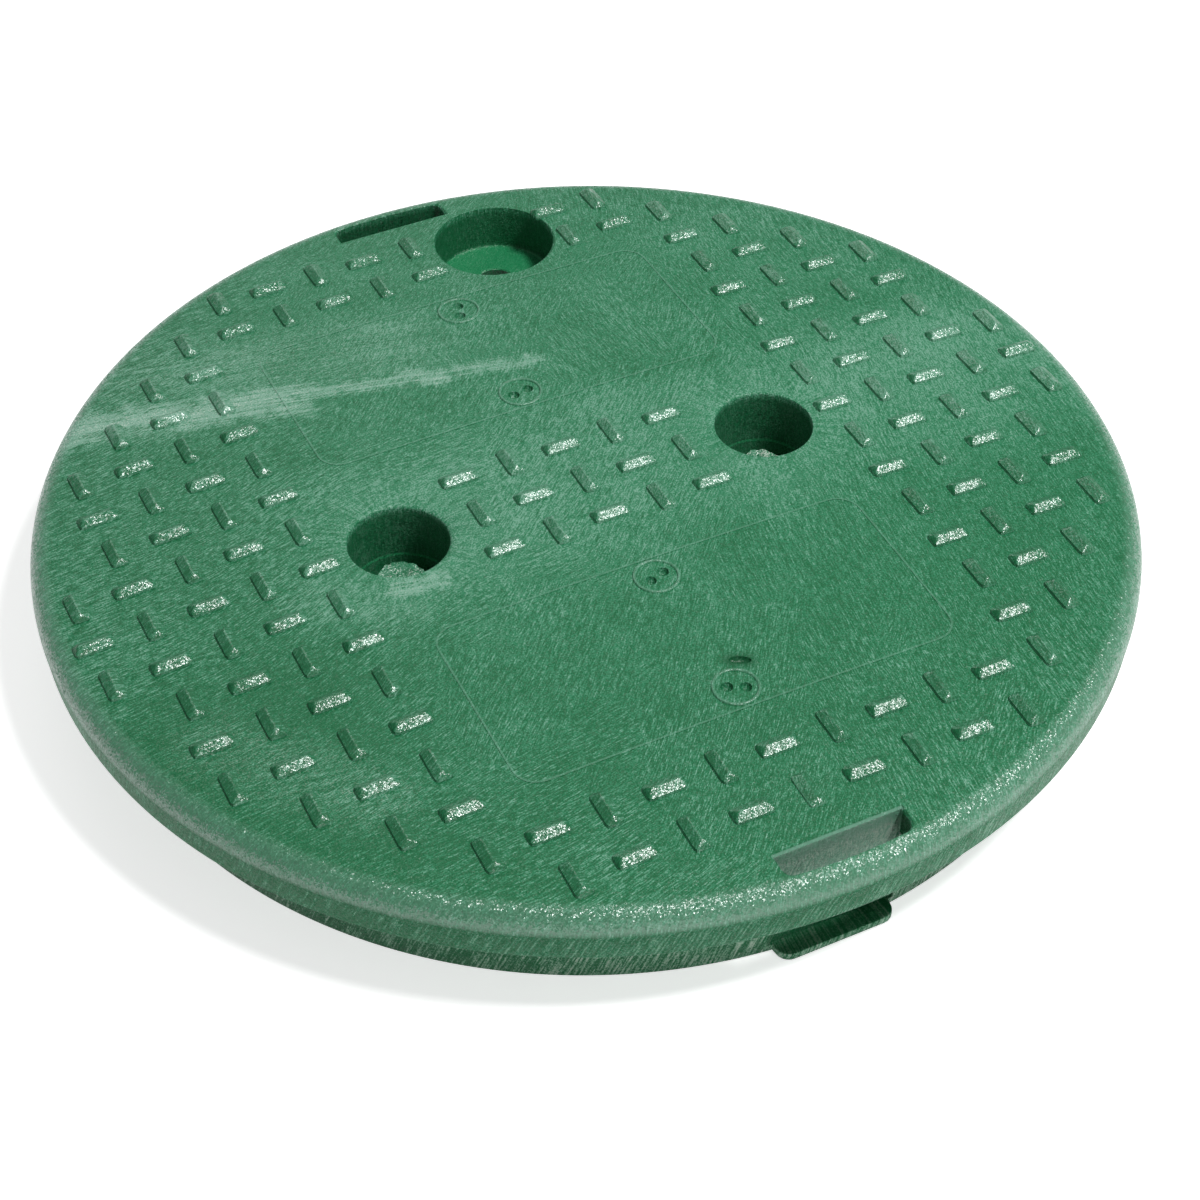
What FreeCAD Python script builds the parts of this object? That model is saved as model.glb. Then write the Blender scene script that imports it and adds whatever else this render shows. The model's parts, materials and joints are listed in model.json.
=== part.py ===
import FreeCAD, Part
import math
import os
from types import SimpleNamespace

import Sketcher

# Round drop-in cover of a ground valve box, moulded in one piece.
# Millimetres, +Z up. The origin is under the middle of the cover, level with the skirt's lower edge.
# The two pry slots run along X at the -Y and +Y ends. Heights are measured from the skirt's lower edge.

NODE = "valve_box_cover"

SIZES = (
    ("rim_diameter", 247.65, "outside of the rim"),
    ("crown_height", 31.75, "middle of the crowned top"),
    ("crown_drop", 3.25, "fall of the crown from its middle to the rim"),
    ("plate_wall", 7.9, "thickness of the top plate in the middle"),
    ("rim_round", 4.75, "rounding of the rim's top edge"),
    ("rim_flats", 4, "conical flats that make up the rounding"),
    ("parting_gap", 0.6, "from the rounding of the rim's edge down to its parting line"),
    ("rim_edge_height", 17.2, "lower edge of the rim"),
    ("rim_draft", 0.5, "lean of the rim below the parting line"),
    ("lip_wall", 4.0, "thickness of the rim's hanging lip"),
    ("seat_height", 22.1, "face under the rim that rests on the box"),
    ("skirt_inset", 9.525, "from the outside of the rim in to the outside of the skirt"),
    ("skirt_wall", 4.5, "thickness of the skirt"),
    ("rib_count", 12, "long ribs under the plate, with a short one between each two"),
    ("rib_wall", 3.2, "thickness of the ribs and of the two rings"),
    ("rib_edge_height", 9.4, "lower edge of the ribs and rings"),
    ("rib_root", 1.0, "depth of the ribs' and bosses' roots in the plate"),
    ("hub_radius", 12.0, "outside of the inner ring, where the long ribs start"),
    ("ring_radius", 60.0, "outside of the outer ring, where the short ribs start"),
    ("boss_wall", 3.5, "wall and floor of the gate wells and of the bolt recess"),
    ("well_spacing", 90.6, "between the two gate wells"),
    ("well_diameter", 22.5, "gate well"),
    ("well_floor_height", 11.9, "floor of the gate wells"),
    ("stub_diameter", 10.6, "foot of the sprue stubs"),
    ("left_stub_length", 8.5, "stub in the well at -X"),
    ("right_stub_length", 7.15, "stub in the well at +X"),
    ("recess_x", 20.3, "middle of the bolt recess, from the middle of the slots"),
    ("recess_inset", 27.825, "from the outside of the rim in to the middle of the bolt recess, along Y"),
    ("recess_diameter", 29.8, "bolt recess"),
    ("recess_floor_height", 17.2, "floor of the bolt recess"),
    ("bolt_hole_diameter", 9.5, "clearance hole for the bolt"),
    ("slot_length", 28.6, "pry slot"),
    ("slot_bite", 1.3, "depth of the pry slot's straight wall in the skirt"),
    ("slot_corner", 2.0, "rounded outer corners of the pry slot"),
    ("tab_length", 26.6, "latch tab below the pry slot"),
    ("tab_overhang", 3.2, "latch tab beyond the skirt"),
    ("tab_wall", 2.0, "thickness of the latch tab"),
    ("tab_corner", 3.0, "rounded corners of the latch tab"),
    ("tread_pitch", 12.7, "lattice of the tread bars"),
    ("tread_margin", 8.225, "from the outside of the rim in to the furthest middle of a tread bar"),
    ("bar_length", 9.2, "tread bar at its foot"),
    ("bar_width", 4.2, "tread bar at its foot"),
    ("bar_rise", 1.7, "height of a tread bar"),
    ("bar_taper", 38.0, "lean of a tread bar's sides in degrees"),
    ("bar_root", 0.5, "depth of a tread bar's root in the plate"),
    ("panel_length", 101.6, "bare panel between the tread bars"),
    ("panel_width", 48.0, "bare panel between the tread bars"),
    ("panel_middle", 53.2, "middle of a bare panel, from the middle of the cover"),
    ("panel_gap", 4.5, "from a bare panel to the middle of the nearest bar"),
    ("hole_gap", 3.5, "from a hole to the middle of the nearest bar"),
)

RIM = "Sizes.rim_diameter / 2"
RIM_FOOT = f"{RIM} - Sizes.rim_draft"
LIP = f"{RIM_FOOT} - Sizes.lip_wall"
SKIRT = f"{RIM} - Sizes.skirt_inset"
SKIRT_BORE = f"{SKIRT} - Sizes.skirt_wall"
SLOT_WALL = f"{SKIRT} - Sizes.slot_bite"
TAB_EDGE = f"{SKIRT} + Sizes.tab_overhang"
RECESS_Y = f"{RIM} - Sizes.recess_inset"
TREAD_REACH = f"{RIM} - Sizes.tread_margin"
CEILING = "Sizes.crown_height - Sizes.plate_wall"
CROWN_RADIUS = f"(({RIM})^2 + Sizes.crown_drop^2) / (2 * Sizes.crown_drop)"
CROWN_MIDDLE = f"Sizes.crown_height - {CROWN_RADIUS}"
ROOT = f"{CEILING} + Sizes.rib_root"
RIB_RISE = f"{ROOT} - Sizes.rib_edge_height"
RECESS_TURN = f"atan2({RECESS_Y}; Sizes.recess_x)"
WELL_MIDDLE = {"left": "-Sizes.well_spacing / 2", "right": "Sizes.well_spacing / 2"}

START, END, MIDDLE = range(1, 4)
X_AXIS, Y_AXIS = range(-1, -3, -1)
NO_OFFSET = "0"


def make_sheet(doc):
    """Write the driving sizes to a sheet, one row each, and return the sheet."""
    sheet = doc.addObject("Spreadsheet::Sheet", "Sizes")
    for row, (alias, value, meaning) in enumerate(SIZES, start=1):
        sheet.set(f"A{row}", meaning)
        sheet.set(f"B{row}", str(value))
        sheet.setAlias(f"B{row}", alias)
    doc.recompute()
    return sheet


def value_of(item, formula):
    """Return what a formula on the sheet comes to."""
    return float(item.evalExpression(formula))


def origin_feature(body, role):
    """Return the plane or axis of a body's own origin that has the given role."""
    return next(item for item in body.Origin.OriginFeatures if item.Role == role)


def new_sketch(body, name, height=NO_OFFSET, plane="XY_Plane"):
    """Attach an empty sketch to one of the body's origin planes, raised by a formula."""
    sketch = body.newObject("Sketcher::SketchObject", name)
    sketch.AttachmentSupport = [(origin_feature(body, plane), "")]
    sketch.MapMode = "FlatFace"
    sketch.setExpression("AttachmentOffset.Base.z", height)
    return sketch


def add_feature(body, kind, name, **bound):
    """Add a feature to a body, bind its properties to formulas and make it the body's tip."""
    item = body.newObject(f"PartDesign::{kind}", name)
    for prop, formula in bound.items():
        item.setExpression(prop, formula)
    body.Tip = item
    return item


def pad(body, sketch, name, **bound):
    """Pad a sketch upwards from its plane."""
    item = add_feature(body, "Pad", name, **bound)
    item.Profile = sketch
    return item


def pocket_up(body, sketch, name):
    """Cut a sketch upwards from its plane through the top of the body, and check that it cut."""
    body.Document.recompute()
    before = body.Shape.Volume
    item = add_feature(body, "Pocket", name)
    item.Profile = sketch
    item.Type = "ThroughAll"
    item.Reversed = True
    body.Document.recompute()
    if not body.Shape.Volume < before:
        raise RuntimeError(f"{name} cuts nothing")
    return item


def line(start, end):
    """Return a straight edge between two (x, y) points of a sketch."""
    return Part.LineSegment(FreeCAD.Vector(*start, 0), FreeCAD.Vector(*end, 0))


def circle(middle, radius):
    """Return a circle about an (x, y) point of a sketch."""
    return Part.Circle(FreeCAD.Vector(*middle, 0), FreeCAD.Vector(0, 0, 1), radius)


def arc(middle, radius, start_angle, end_angle):
    """Return an anticlockwise arc about an (x, y) point of a sketch."""
    return Part.ArcOfCircle(circle(middle, radius), start_angle, end_angle)


def constrain(sketch, kind, *what):
    """Add a constraint that has no size."""
    sketch.addConstraint(Sketcher.Constraint(kind, *what))


def bind(sketch, formula, kind, *what):
    """Add a dimension to a sketch and bind it to a formula."""
    index = sketch.addConstraint(Sketcher.Constraint(kind, *what, value_of(sketch, formula)))
    sketch.setExpression(f"Constraints[{index}]", formula)


def hold_x(sketch, edge, point, formula):
    """Hold a point of a sketch at a distance from the sketch's Y axis."""
    if formula == NO_OFFSET:
        constrain(sketch, "PointOnObject", edge, point, Y_AXIS)
    else:
        bind(sketch, formula, "DistanceX", -1, 1, edge, point)


def hold_y(sketch, edge, point, formula):
    """Hold a point of a sketch at a distance from the sketch's X axis."""
    if formula == NO_OFFSET:
        constrain(sketch, "PointOnObject", edge, point, X_AXIS)
    else:
        bind(sketch, formula, "DistanceY", -1, 1, edge, point)


def add_polygon(sketch, corners):
    """Add a closed polygon whose corners are pairs of formulas."""
    places = [(value_of(sketch, x), value_of(sketch, y)) for x, y in corners]
    sides = [sketch.addGeometry(line(here, after)) for here, after in zip(places, places[1:] + places[:1])]
    for here, after in zip(sides, sides[1:] + sides[:1]):
        constrain(sketch, "Coincident", here, END, after, START)
    for side, (x, y) in zip(sides, corners):
        hold_x(sketch, side, START, x)
        hold_y(sketch, side, START, y)


def add_circle(sketch, x, y, diameter):
    """Add a circle whose middle and diameter are formulas."""
    middle = (value_of(sketch, x), value_of(sketch, y))
    number = sketch.addGeometry(circle(middle, value_of(sketch, diameter) / 2))
    hold_x(sketch, number, MIDDLE, x)
    hold_y(sketch, number, MIDDLE, y)
    bind(sketch, diameter, "Diameter", number)


def add_rounded_end(sketch, half, base, corner, rise, outside):
    """Add a closed outline with a straight base, upright sides and rounded corners at its outer edge.

    half and base are formulas for the base's ends, corner for the corners' radius. rise is the height of
    the corners' middles, and outside is the outer edge, which runs from the right corner to the left one.
    Return the number of the outer edge.
    """
    reach = value_of(sketch, half)
    low = value_of(sketch, base)
    radius = value_of(sketch, corner)
    right_end = outside.StartPoint
    turn = math.atan2(right_end.y - rise, right_end.x - (reach - radius))
    edges = (
        line((-reach, low), (reach, low)),
        line((reach, low), (reach, rise)),
        arc((reach - radius, rise), radius, 0, turn),
        outside,
        arc((radius - reach, rise), radius, math.pi - turn, math.pi),
        line((-reach, rise), (-reach, low)),
    )
    foot, right, right_corner, outer, left_corner, left = [sketch.addGeometry(edge) for edge in edges]
    constrain(sketch, "Coincident", left, END, foot, START)
    constrain(sketch, "Coincident", foot, END, right, START)
    round_edges = (right, right_corner, outer, left_corner, left)
    for here, after in zip(round_edges, round_edges[1:]):
        constrain(sketch, "Tangent", here, END, after, START)
    constrain(sketch, "Vertical", right)
    constrain(sketch, "Vertical", left)
    hold_x(sketch, foot, START, f"-({half})")
    hold_x(sketch, foot, END, half)
    hold_y(sketch, foot, START, base)
    hold_y(sketch, foot, END, base)
    bind(sketch, corner, "Radius", right_corner)
    bind(sketch, corner, "Radius", left_corner)
    return outer


def rim_corners(count):
    """Return the corners of the flats round the rim's top edge, from the parting line up and inwards.

    The rounding touches the rim's side and the crown. Its last flat runs on to the level of the crown's
    middle, and the crown cuts it off.
    """
    rounding = "Sizes.rim_round"
    level = "Sizes.crown_height"
    reach = f"({CROWN_RADIUS} - {rounding})"
    inset = f"({RIM} - {rounding})"
    brow = f"({CROWN_MIDDLE} + sqrt({reach}^2 - {inset}^2))"
    step = f"acos({inset} / {reach}) / {count}"
    corners = [(RIM, f"{brow} - Sizes.parting_gap")]
    for flat in range(count):
        turn = f"{flat} * {step}"
        corners.append((f"{inset} + {rounding} * cos({turn})", f"{brow} + {rounding} * sin({turn})"))
    x, y = corners[-1]
    corners.append((f"{x} - ({level} - ({y})) * tan({count - 0.5} * {step})", level))
    return corners


def make_shell(body):
    """Revolve the section of the plate, the rim with its hanging lip, the seat and the skirt."""
    section = new_sketch(body, "ShellSection", plane="XZ_Plane")
    corners = (
        (NO_OFFSET, CEILING),
        (SKIRT_BORE, CEILING),
        (SKIRT_BORE, NO_OFFSET),
        (SKIRT, NO_OFFSET),
        (SKIRT, "Sizes.seat_height"),
        (LIP, "Sizes.seat_height"),
        (LIP, "Sizes.rim_edge_height"),
        (RIM_FOOT, "Sizes.rim_edge_height"),
        *rim_corners(int(value_of(section, "Sizes.rim_flats"))),
        (NO_OFFSET, "Sizes.crown_height"),
    )
    add_polygon(section, corners)
    shell = add_feature(body, "Revolution", "Shell")
    shell.Profile = section
    shell.ReferenceAxis = (section, ["V_Axis"])
    shell.Angle = 360


def make_crown(body):
    """Cut the plate to a shallow crown, the top of a large ball whose middle is far below the cover."""
    section = new_sketch(body, "CrownSection", plane="XZ_Plane")
    top = "Sizes.crown_height + Sizes.crown_drop"
    reach = value_of(section, RIM)
    level = value_of(section, top)
    radius = value_of(section, CROWN_RADIUS)
    middle = value_of(section, CROWN_MIDDLE)
    turn = math.acos(reach / radius)
    low = middle + radius * math.sin(turn)
    edges = (
        arc((0, middle), radius, turn, math.pi - turn),
        line((-reach, low), (-reach, level)),
        line((-reach, level), (reach, level)),
        line((reach, level), (reach, low)),
    )
    ball, left, over, right = [section.addGeometry(edge) for edge in edges]
    axis = section.addGeometry(line((-reach, middle), (reach, middle)), True)
    for here, after in ((left, over), (over, right), (right, ball), (ball, left)):
        constrain(section, "Coincident", here, END, after, START)
    for upright in (left, right):
        constrain(section, "Vertical", upright)
    for edge, height in ((over, top), (axis, CROWN_MIDDLE)):
        for point, x in ((START, f"-{RIM}"), (END, RIM)):
            hold_x(section, edge, point, x)
            hold_y(section, edge, point, height)
    hold_x(section, ball, MIDDLE, NO_OFFSET)
    hold_y(section, ball, MIDDLE, CROWN_MIDDLE)
    bind(section, CROWN_RADIUS, "Radius", ball)
    crown = add_feature(body, "Groove", "Crown")
    crown.Profile = section
    crown.ReferenceAxis = (section, ["Axis0"])
    crown.Angle = 360


def make_rib_set(body, name, start, turn):
    """Pad a radial rib from a start radius out to the skirt, turned by a formula, and repeat it all round."""
    half = "Sizes.rib_wall / 2"
    inner = f"{start} - {half}"
    outer = f"{SKIRT} - Sizes.skirt_wall / 2"
    plan = new_sketch(body, f"{name}Plan", "Sizes.rib_edge_height")
    plan.setExpression("AttachmentOffset.Rotation.Angle", turn)
    add_polygon(plan, ((inner, f"-{half}"), (outer, f"-{half}"), (outer, half), (inner, half)))
    rib = pad(body, plan, name, Length=RIB_RISE)
    body.Document.recompute()
    ribs = add_feature(body, "PolarPattern", f"{name}s", Occurrences="Sizes.rib_count")
    ribs.Originals = [rib]
    ribs.Axis = (origin_feature(body, "Z_Axis"), [""])
    ribs.Angle = 360


def make_ribs(body):
    """Set long ribs from the hub and short ones from the outer ring, then pad the two rings that tie them.

    The bolt recess lies midway between a long rib and a short one.
    """
    make_rib_set(body, "LongRib", "Sizes.hub_radius", f"{RECESS_TURN} + 90 deg / Sizes.rib_count")
    make_rib_set(body, "ShortRib", "Sizes.ring_radius", f"{RECESS_TURN} - 90 deg / Sizes.rib_count")
    plan = new_sketch(body, "RingPlan", "Sizes.rib_edge_height")
    for radius in ("Sizes.hub_radius", "Sizes.ring_radius"):
        add_circle(plan, NO_OFFSET, NO_OFFSET, f"2 * {radius}")
        add_circle(plan, NO_OFFSET, NO_OFFSET, f"2 * {radius} - 2 * Sizes.rib_wall")
    pad(body, plan, "Rings", Length=RIB_RISE)


def make_wells(body):
    """Hang bosses under the plate, then bore the gate wells, the bolt recess and its hole."""
    foot = "Sizes.well_floor_height - Sizes.boss_wall"
    plan = new_sketch(body, "WellBossPlan", foot)
    for middle in WELL_MIDDLE.values():
        add_circle(plan, middle, NO_OFFSET, "Sizes.well_diameter + 2 * Sizes.boss_wall")
    pad(body, plan, "WellBosses", Length=f"{ROOT} - ({foot})")

    foot = "Sizes.recess_floor_height - Sizes.boss_wall"
    plan = new_sketch(body, "RecessBossPlan", foot)
    add_circle(plan, "Sizes.recess_x", RECESS_Y, "Sizes.recess_diameter + 2 * Sizes.boss_wall")
    pad(body, plan, "RecessBoss", Length=f"{ROOT} - ({foot})")

    plan = new_sketch(body, "WellPlan", "Sizes.well_floor_height")
    for middle in WELL_MIDDLE.values():
        add_circle(plan, middle, NO_OFFSET, "Sizes.well_diameter")
    pocket_up(body, plan, "Wells")

    plan = new_sketch(body, "RecessPlan", "Sizes.recess_floor_height")
    add_circle(plan, "Sizes.recess_x", RECESS_Y, "Sizes.recess_diameter")
    pocket_up(body, plan, "Recess")

    plan = new_sketch(body, "BoltHolePlan")
    add_circle(plan, "Sizes.recess_x", RECESS_Y, "Sizes.bolt_hole_diameter")
    pocket_up(body, plan, "BoltHole")


def make_stubs(body):
    """Stand a broken-off sprue on the floor of each gate well."""
    for name, middle in WELL_MIDDLE.items():
        plan = new_sketch(body, f"{name.title()}StubPlan", "Sizes.well_floor_height")
        add_circle(plan, middle, NO_OFFSET, "Sizes.stub_diameter")
        pad(body, plan, f"{name.title()}Stub", Length=f"Sizes.{name}_stub_length")


def make_latches(body):
    """Add a latch tab to the skirt's lower edge, cut the pry slot down to it, and mirror both."""
    plan = new_sketch(body, "TabPlan")
    reach = value_of(plan, TAB_EDGE)
    corner = value_of(plan, "Sizes.tab_corner")
    end = value_of(plan, "Sizes.tab_length / 2") - corner
    edge = line((end, reach), (-end, reach))
    outer = add_rounded_end(
        plan, "Sizes.tab_length / 2", SKIRT_BORE, "Sizes.tab_corner", reach - corner, edge
    )
    hold_y(plan, outer, START, TAB_EDGE)
    tab = pad(body, plan, "Tab", Length="Sizes.tab_wall")

    plan = new_sketch(body, "SlotPlan", "Sizes.tab_wall")
    lip = value_of(plan, LIP)
    corner = value_of(plan, "Sizes.slot_corner")
    end = value_of(plan, "Sizes.slot_length / 2") - corner
    rise = math.sqrt((lip - corner) ** 2 - end ** 2)
    turn = math.atan2(rise, end)
    edge = arc((0, 0), lip, turn, math.pi - turn)
    outer = add_rounded_end(
        plan, "Sizes.slot_length / 2", SLOT_WALL, "Sizes.slot_corner", rise, edge
    )
    constrain(plan, "Coincident", outer, MIDDLE, -1, 1)
    bind(plan, LIP, "Radius", outer)
    slot = pocket_up(body, plan, "Slot")

    latches = add_feature(body, "Mirrored", "Latches")
    latches.Originals = [tab, slot]
    latches.MirrorPlane = (origin_feature(body, "XZ_Plane"), [""])


def make_cover(doc):
    """Build the cover without its tread bars."""
    body = doc.addObject("PartDesign::Body", "Cover")
    make_shell(body)
    make_crown(body)
    make_ribs(body)
    make_wells(body)
    make_stubs(body)
    make_latches(body)
    doc.recompute()
    return body


def make_bar(doc):
    """Build one tread bar about the origin, along X, with leaning sides."""
    body = doc.addObject("PartDesign::Body", "TreadBar")
    end = "Sizes.bar_length / 2"
    side = "Sizes.bar_width / 2"
    plan = new_sketch(body, "BarPlan", "-Sizes.bar_root")
    add_polygon(plan, ((f"-{end}", f"-{side}"), (end, f"-{side}"), (end, side), (f"-{end}", side)))
    block = pad(body, plan, "Block", Length="Sizes.bar_root + Sizes.bar_rise")
    doc.recompute()
    sides = [f"Face{index}" for index, face in enumerate(block.Shape.Faces, 1) if not face.normalAt(0, 0).z]
    lean = add_feature(body, "Draft", "Lean", Angle="Sizes.bar_taper")
    lean.Base = (block, sides)
    lean.NeutralPlane = (origin_feature(body, "XY_Plane"), [""])
    doc.recompute()
    return body


def bar_is_clear(size, x, y):
    """Tell whether a tread bar may stand at a point: off the panels, wells, recess and slots."""
    on_panel = (
        abs(x) < size.panel_length / 2 + size.panel_gap
        and abs(abs(y) - size.panel_middle) < size.panel_width / 2 + size.panel_gap
    )
    well = math.hypot(abs(x) - size.well_spacing / 2, y) - size.well_diameter / 2
    recess = math.hypot(x - size.recess_x, y - size.recess_y) - size.recess_diameter / 2
    slot = max(abs(x) - size.slot_length / 2, size.slot_wall - abs(y))
    return not on_panel and min(well, recess, slot) > size.hole_gap


def make_tread(doc, sheet, bar):
    """Set copies of the bar on the crown, square to it and turned by turns along X and Y, over a lattice."""
    size = SimpleNamespace(**{alias: float(sheet.get(alias)) for alias, value, meaning in SIZES})
    size.recess_y = value_of(sheet, RECESS_Y)
    size.slot_wall = value_of(sheet, SLOT_WALL)
    size.tread_reach = value_of(sheet, TREAD_REACH)
    up = FreeCAD.Vector(0, 0, 1)
    radius = value_of(sheet, CROWN_RADIUS)
    middle = FreeCAD.Vector(0, 0, size.crown_height - radius)
    reach = int(size.tread_reach // size.tread_pitch)
    copies = []
    for column in range(-reach, reach + 1):
        for row in range(-reach, reach + 1):
            x = column * size.tread_pitch
            y = row * size.tread_pitch
            if math.hypot(x, y) > size.tread_reach or not bar_is_clear(size, x, y):
                continue
            outward = FreeCAD.Vector(x, y, math.sqrt(radius ** 2 - x ** 2 - y ** 2))
            quarter_turn = FreeCAD.Rotation(up, 0 if (column + row) % 2 else 90)
            copy = bar.Shape.copy()
            copy.Placement = FreeCAD.Placement(middle + outward, FreeCAD.Rotation(up, outward) * quarter_turn)
            copies.append(copy)
    tread = doc.addObject("Part::Feature", "Tread")
    tread.Shape = Part.makeCompound(copies)
    return tread


def check(doc, part):
    """Stop if any object of the document failed, or if the part isn't one sound solid."""
    for item in doc.Objects:
        if "Invalid" in item.State or "Error" in item.State:
            raise RuntimeError(f"{item.Name} failed: {item.State}")
    shape = part.Shape
    if shape.isNull() or not shape.isValid() or len(shape.Solids) != 1:
        raise RuntimeError(f"{part.Label} is not one sound solid")


def main():
    """Build the cover and write its one solid."""
    doc = FreeCAD.newDocument("ValveBoxCover")
    sheet = make_sheet(doc)
    cover = make_cover(doc)
    bar = make_bar(doc)
    tread = make_tread(doc, sheet, bar)
    part = doc.addObject("Part::Fuse", "TreadedCover")
    part.Base = cover
    part.Tool = tread
    part.Label = NODE
    doc.recompute()
    check(doc, part)
    os.makedirs("parts", exist_ok=True)
    part.Shape.exportStep(f"parts/{part.Label}.step")
    print(part.Label, "tread bars", len(tread.Shape.Solids), "volume", round(part.Shape.Volume), "mm3")


main()
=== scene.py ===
import json
import logging
import math
from collections.abc import Iterable, Sequence
from dataclasses import dataclass
from enum import Enum
from functools import cached_property

import bmesh
import bpy
from mathutils import Matrix, Vector, noise

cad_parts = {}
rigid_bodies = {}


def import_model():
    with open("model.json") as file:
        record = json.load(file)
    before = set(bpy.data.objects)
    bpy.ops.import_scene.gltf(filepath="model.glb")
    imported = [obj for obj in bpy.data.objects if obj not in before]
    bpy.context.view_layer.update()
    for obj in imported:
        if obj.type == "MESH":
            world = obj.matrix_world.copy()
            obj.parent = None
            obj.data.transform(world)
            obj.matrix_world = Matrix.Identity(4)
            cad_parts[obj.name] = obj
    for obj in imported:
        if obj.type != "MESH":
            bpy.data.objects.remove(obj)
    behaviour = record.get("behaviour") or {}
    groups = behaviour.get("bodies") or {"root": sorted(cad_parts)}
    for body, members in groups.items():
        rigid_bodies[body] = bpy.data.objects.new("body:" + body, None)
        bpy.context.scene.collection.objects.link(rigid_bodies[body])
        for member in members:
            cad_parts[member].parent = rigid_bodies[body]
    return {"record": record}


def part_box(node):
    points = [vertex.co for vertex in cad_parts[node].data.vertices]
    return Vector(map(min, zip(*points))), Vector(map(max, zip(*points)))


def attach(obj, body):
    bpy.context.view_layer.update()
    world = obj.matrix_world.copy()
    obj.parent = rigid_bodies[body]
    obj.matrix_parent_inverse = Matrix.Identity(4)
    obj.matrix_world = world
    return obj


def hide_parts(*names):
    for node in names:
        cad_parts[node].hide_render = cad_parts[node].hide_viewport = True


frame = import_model()

log = logging.getLogger("valve_box_cover")

NODE = "valve_box_cover"
BODY = "root"
MM = 0.001
GATE_MIDDLE = 45.3
FULL_TURN = 2 * math.pi
NEAR = 1e-4
EDGE_STEPS = 2
Z_AXIS = Vector((0, 0, 1))

Shape = bmesh.types.BMesh
Socket = bpy.types.NodeSocket
Value = Socket | float | Sequence[float]
Span = tuple[float, float]
Triple = tuple[float, float, float]
Colour = tuple[float, float, float, float]
Profile = list[tuple[float, float]]
Layer = tuple[Socket, Value]


class Operation(Enum):
    """How one set of shapes is worked into the cover."""

    ADD = "UNION"
    CUT = "DIFFERENCE"


class Rounded(Enum):
    """What a bevel rounds."""

    EDGES = "EDGES"
    CORNERS = "VERTICES"


def spin_profile(profile: Profile, steps: int) -> Shape:
    """Turn a section about the Z axis into a closed shape.

    Args:
        profile: Points of the section as (radius, height), in millimetres.
        steps: Facets of the full turn.

    Returns:
        The turned shape, with its normals outwards.
    """
    bm = bmesh.new()
    verts = [bm.verts.new((radius, 0, height)) for radius, height in profile]
    edges = [bm.edges.new(pair) for pair in zip(verts, verts[1:] + verts[:1])]
    bmesh.ops.spin(
        bm, geom=verts + edges, cent=(0, 0, 0), axis=Z_AXIS, dvec=(0, 0, 0),
        angle=FULL_TURN, steps=steps, use_merge=True, use_duplicate=False,
    )
    bmesh.ops.remove_doubles(bm, verts=bm.verts, dist=NEAR)
    bmesh.ops.recalc_face_normals(bm, faces=bm.faces)
    return bm


def arc_points(middle: Span, radius: float, start: float, end: float, steps: int) -> Profile:
    """Return points along an arc of a section.

    Args:
        middle: Middle of the arc as (radius, height).
        radius: Radius of the arc.
        start: Angle of the first point in degrees.
        end: Angle of the last point in degrees.
        steps: Straight pieces that make up the arc.

    Returns:
        The points from start to end, both included.
    """
    turns = [math.radians(start + (end - start) * step / steps) for step in range(steps + 1)]
    return [(middle[0] + radius * math.cos(turn), middle[1] + radius * math.sin(turn)) for turn in turns]


def bevel(
    bm: Shape, geom: Iterable[bmesh.types.BMEdge | bmesh.types.BMVert], offset: float, segments: int,
    rounded: Rounded = Rounded.EDGES,
) -> None:
    """Round some edges or corners of a shape.

    Args:
        bm: The shape.
        geom: Edges or corners to round.
        offset: Size of the rounding in millimetres.
        segments: Straight pieces across the rounding.
        rounded: Whether edges are given, or corners of a flat shape.
    """
    bmesh.ops.bevel(
        bm, geom=list(geom), offset=offset, offset_type="OFFSET", affect=rounded.value,
        segments=segments, profile=0.5, material=-1, clamp_overlap=rounded is Rounded.EDGES,
    )


def box_shape(low: Sequence[float], high: Sequence[float], rounding: float = 0.0) -> Shape:
    """Return a block between two corners, with its edges rounded if a rounding is given.

    Args:
        low: Lowest corner in millimetres.
        high: Highest corner in millimetres.
        rounding: Size of the bevel on every edge.

    Returns:
        The block.
    """
    bm = bmesh.new()
    bmesh.ops.create_cube(bm, size=1)
    size = [b - a for a, b in zip(low, high)]
    middle = [(a + b) / 2 for a, b in zip(low, high)]
    bmesh.ops.transform(bm, matrix=Matrix.Translation(middle) @ Matrix.Diagonal((*size, 1)), verts=bm.verts)
    if rounding:
        bevel(bm, bm.edges[:], rounding, EDGE_STEPS)
    return bm


def run_along(edge: bmesh.types.BMEdge, axis: int) -> float:
    """Return how far an edge runs along one axis."""
    return abs(edge.verts[0].co[axis] - edge.verts[1].co[axis])


def top_face(bm: Shape) -> bmesh.types.BMFace:
    """Return the highest face of a shape."""
    return max(bm.faces, key=lambda face: face.calc_center_median().z)


def turn_about(bm: Shape, turn: float) -> Shape:
    """Turn a shape about the Z axis by an angle in radians and return it."""
    bmesh.ops.rotate(bm, cent=(0, 0, 0), matrix=Matrix.Rotation(turn, 3, "Z"), verts=bm.verts)
    return bm


def copy_into(bm: Shape, shape: Shape, place: Matrix) -> None:
    """Add a copy of one shape to another.

    Args:
        bm: The shape that grows.
        shape: The shape to copy.
        place: Where the copy goes.
    """
    mesh = bpy.data.meshes.new("copy")
    shape.to_mesh(mesh)
    mesh.transform(place)
    bm.from_mesh(mesh)
    bpy.data.meshes.remove(mesh)


def to_object(bm: Shape, name: str) -> bpy.types.Object:
    """Make an object in metres from a shape in millimetres, and free the shape.

    Args:
        bm: The shape.
        name: Name of the object.

    Returns:
        The object, linked to the scene.
    """
    mesh = bpy.data.meshes.new(name)
    bm.to_mesh(mesh)
    bm.free()
    mesh.transform(Matrix.Scale(MM, 4))
    item = bpy.data.objects.new(name, mesh)
    bpy.context.scene.collection.objects.link(item)
    return item


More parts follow.
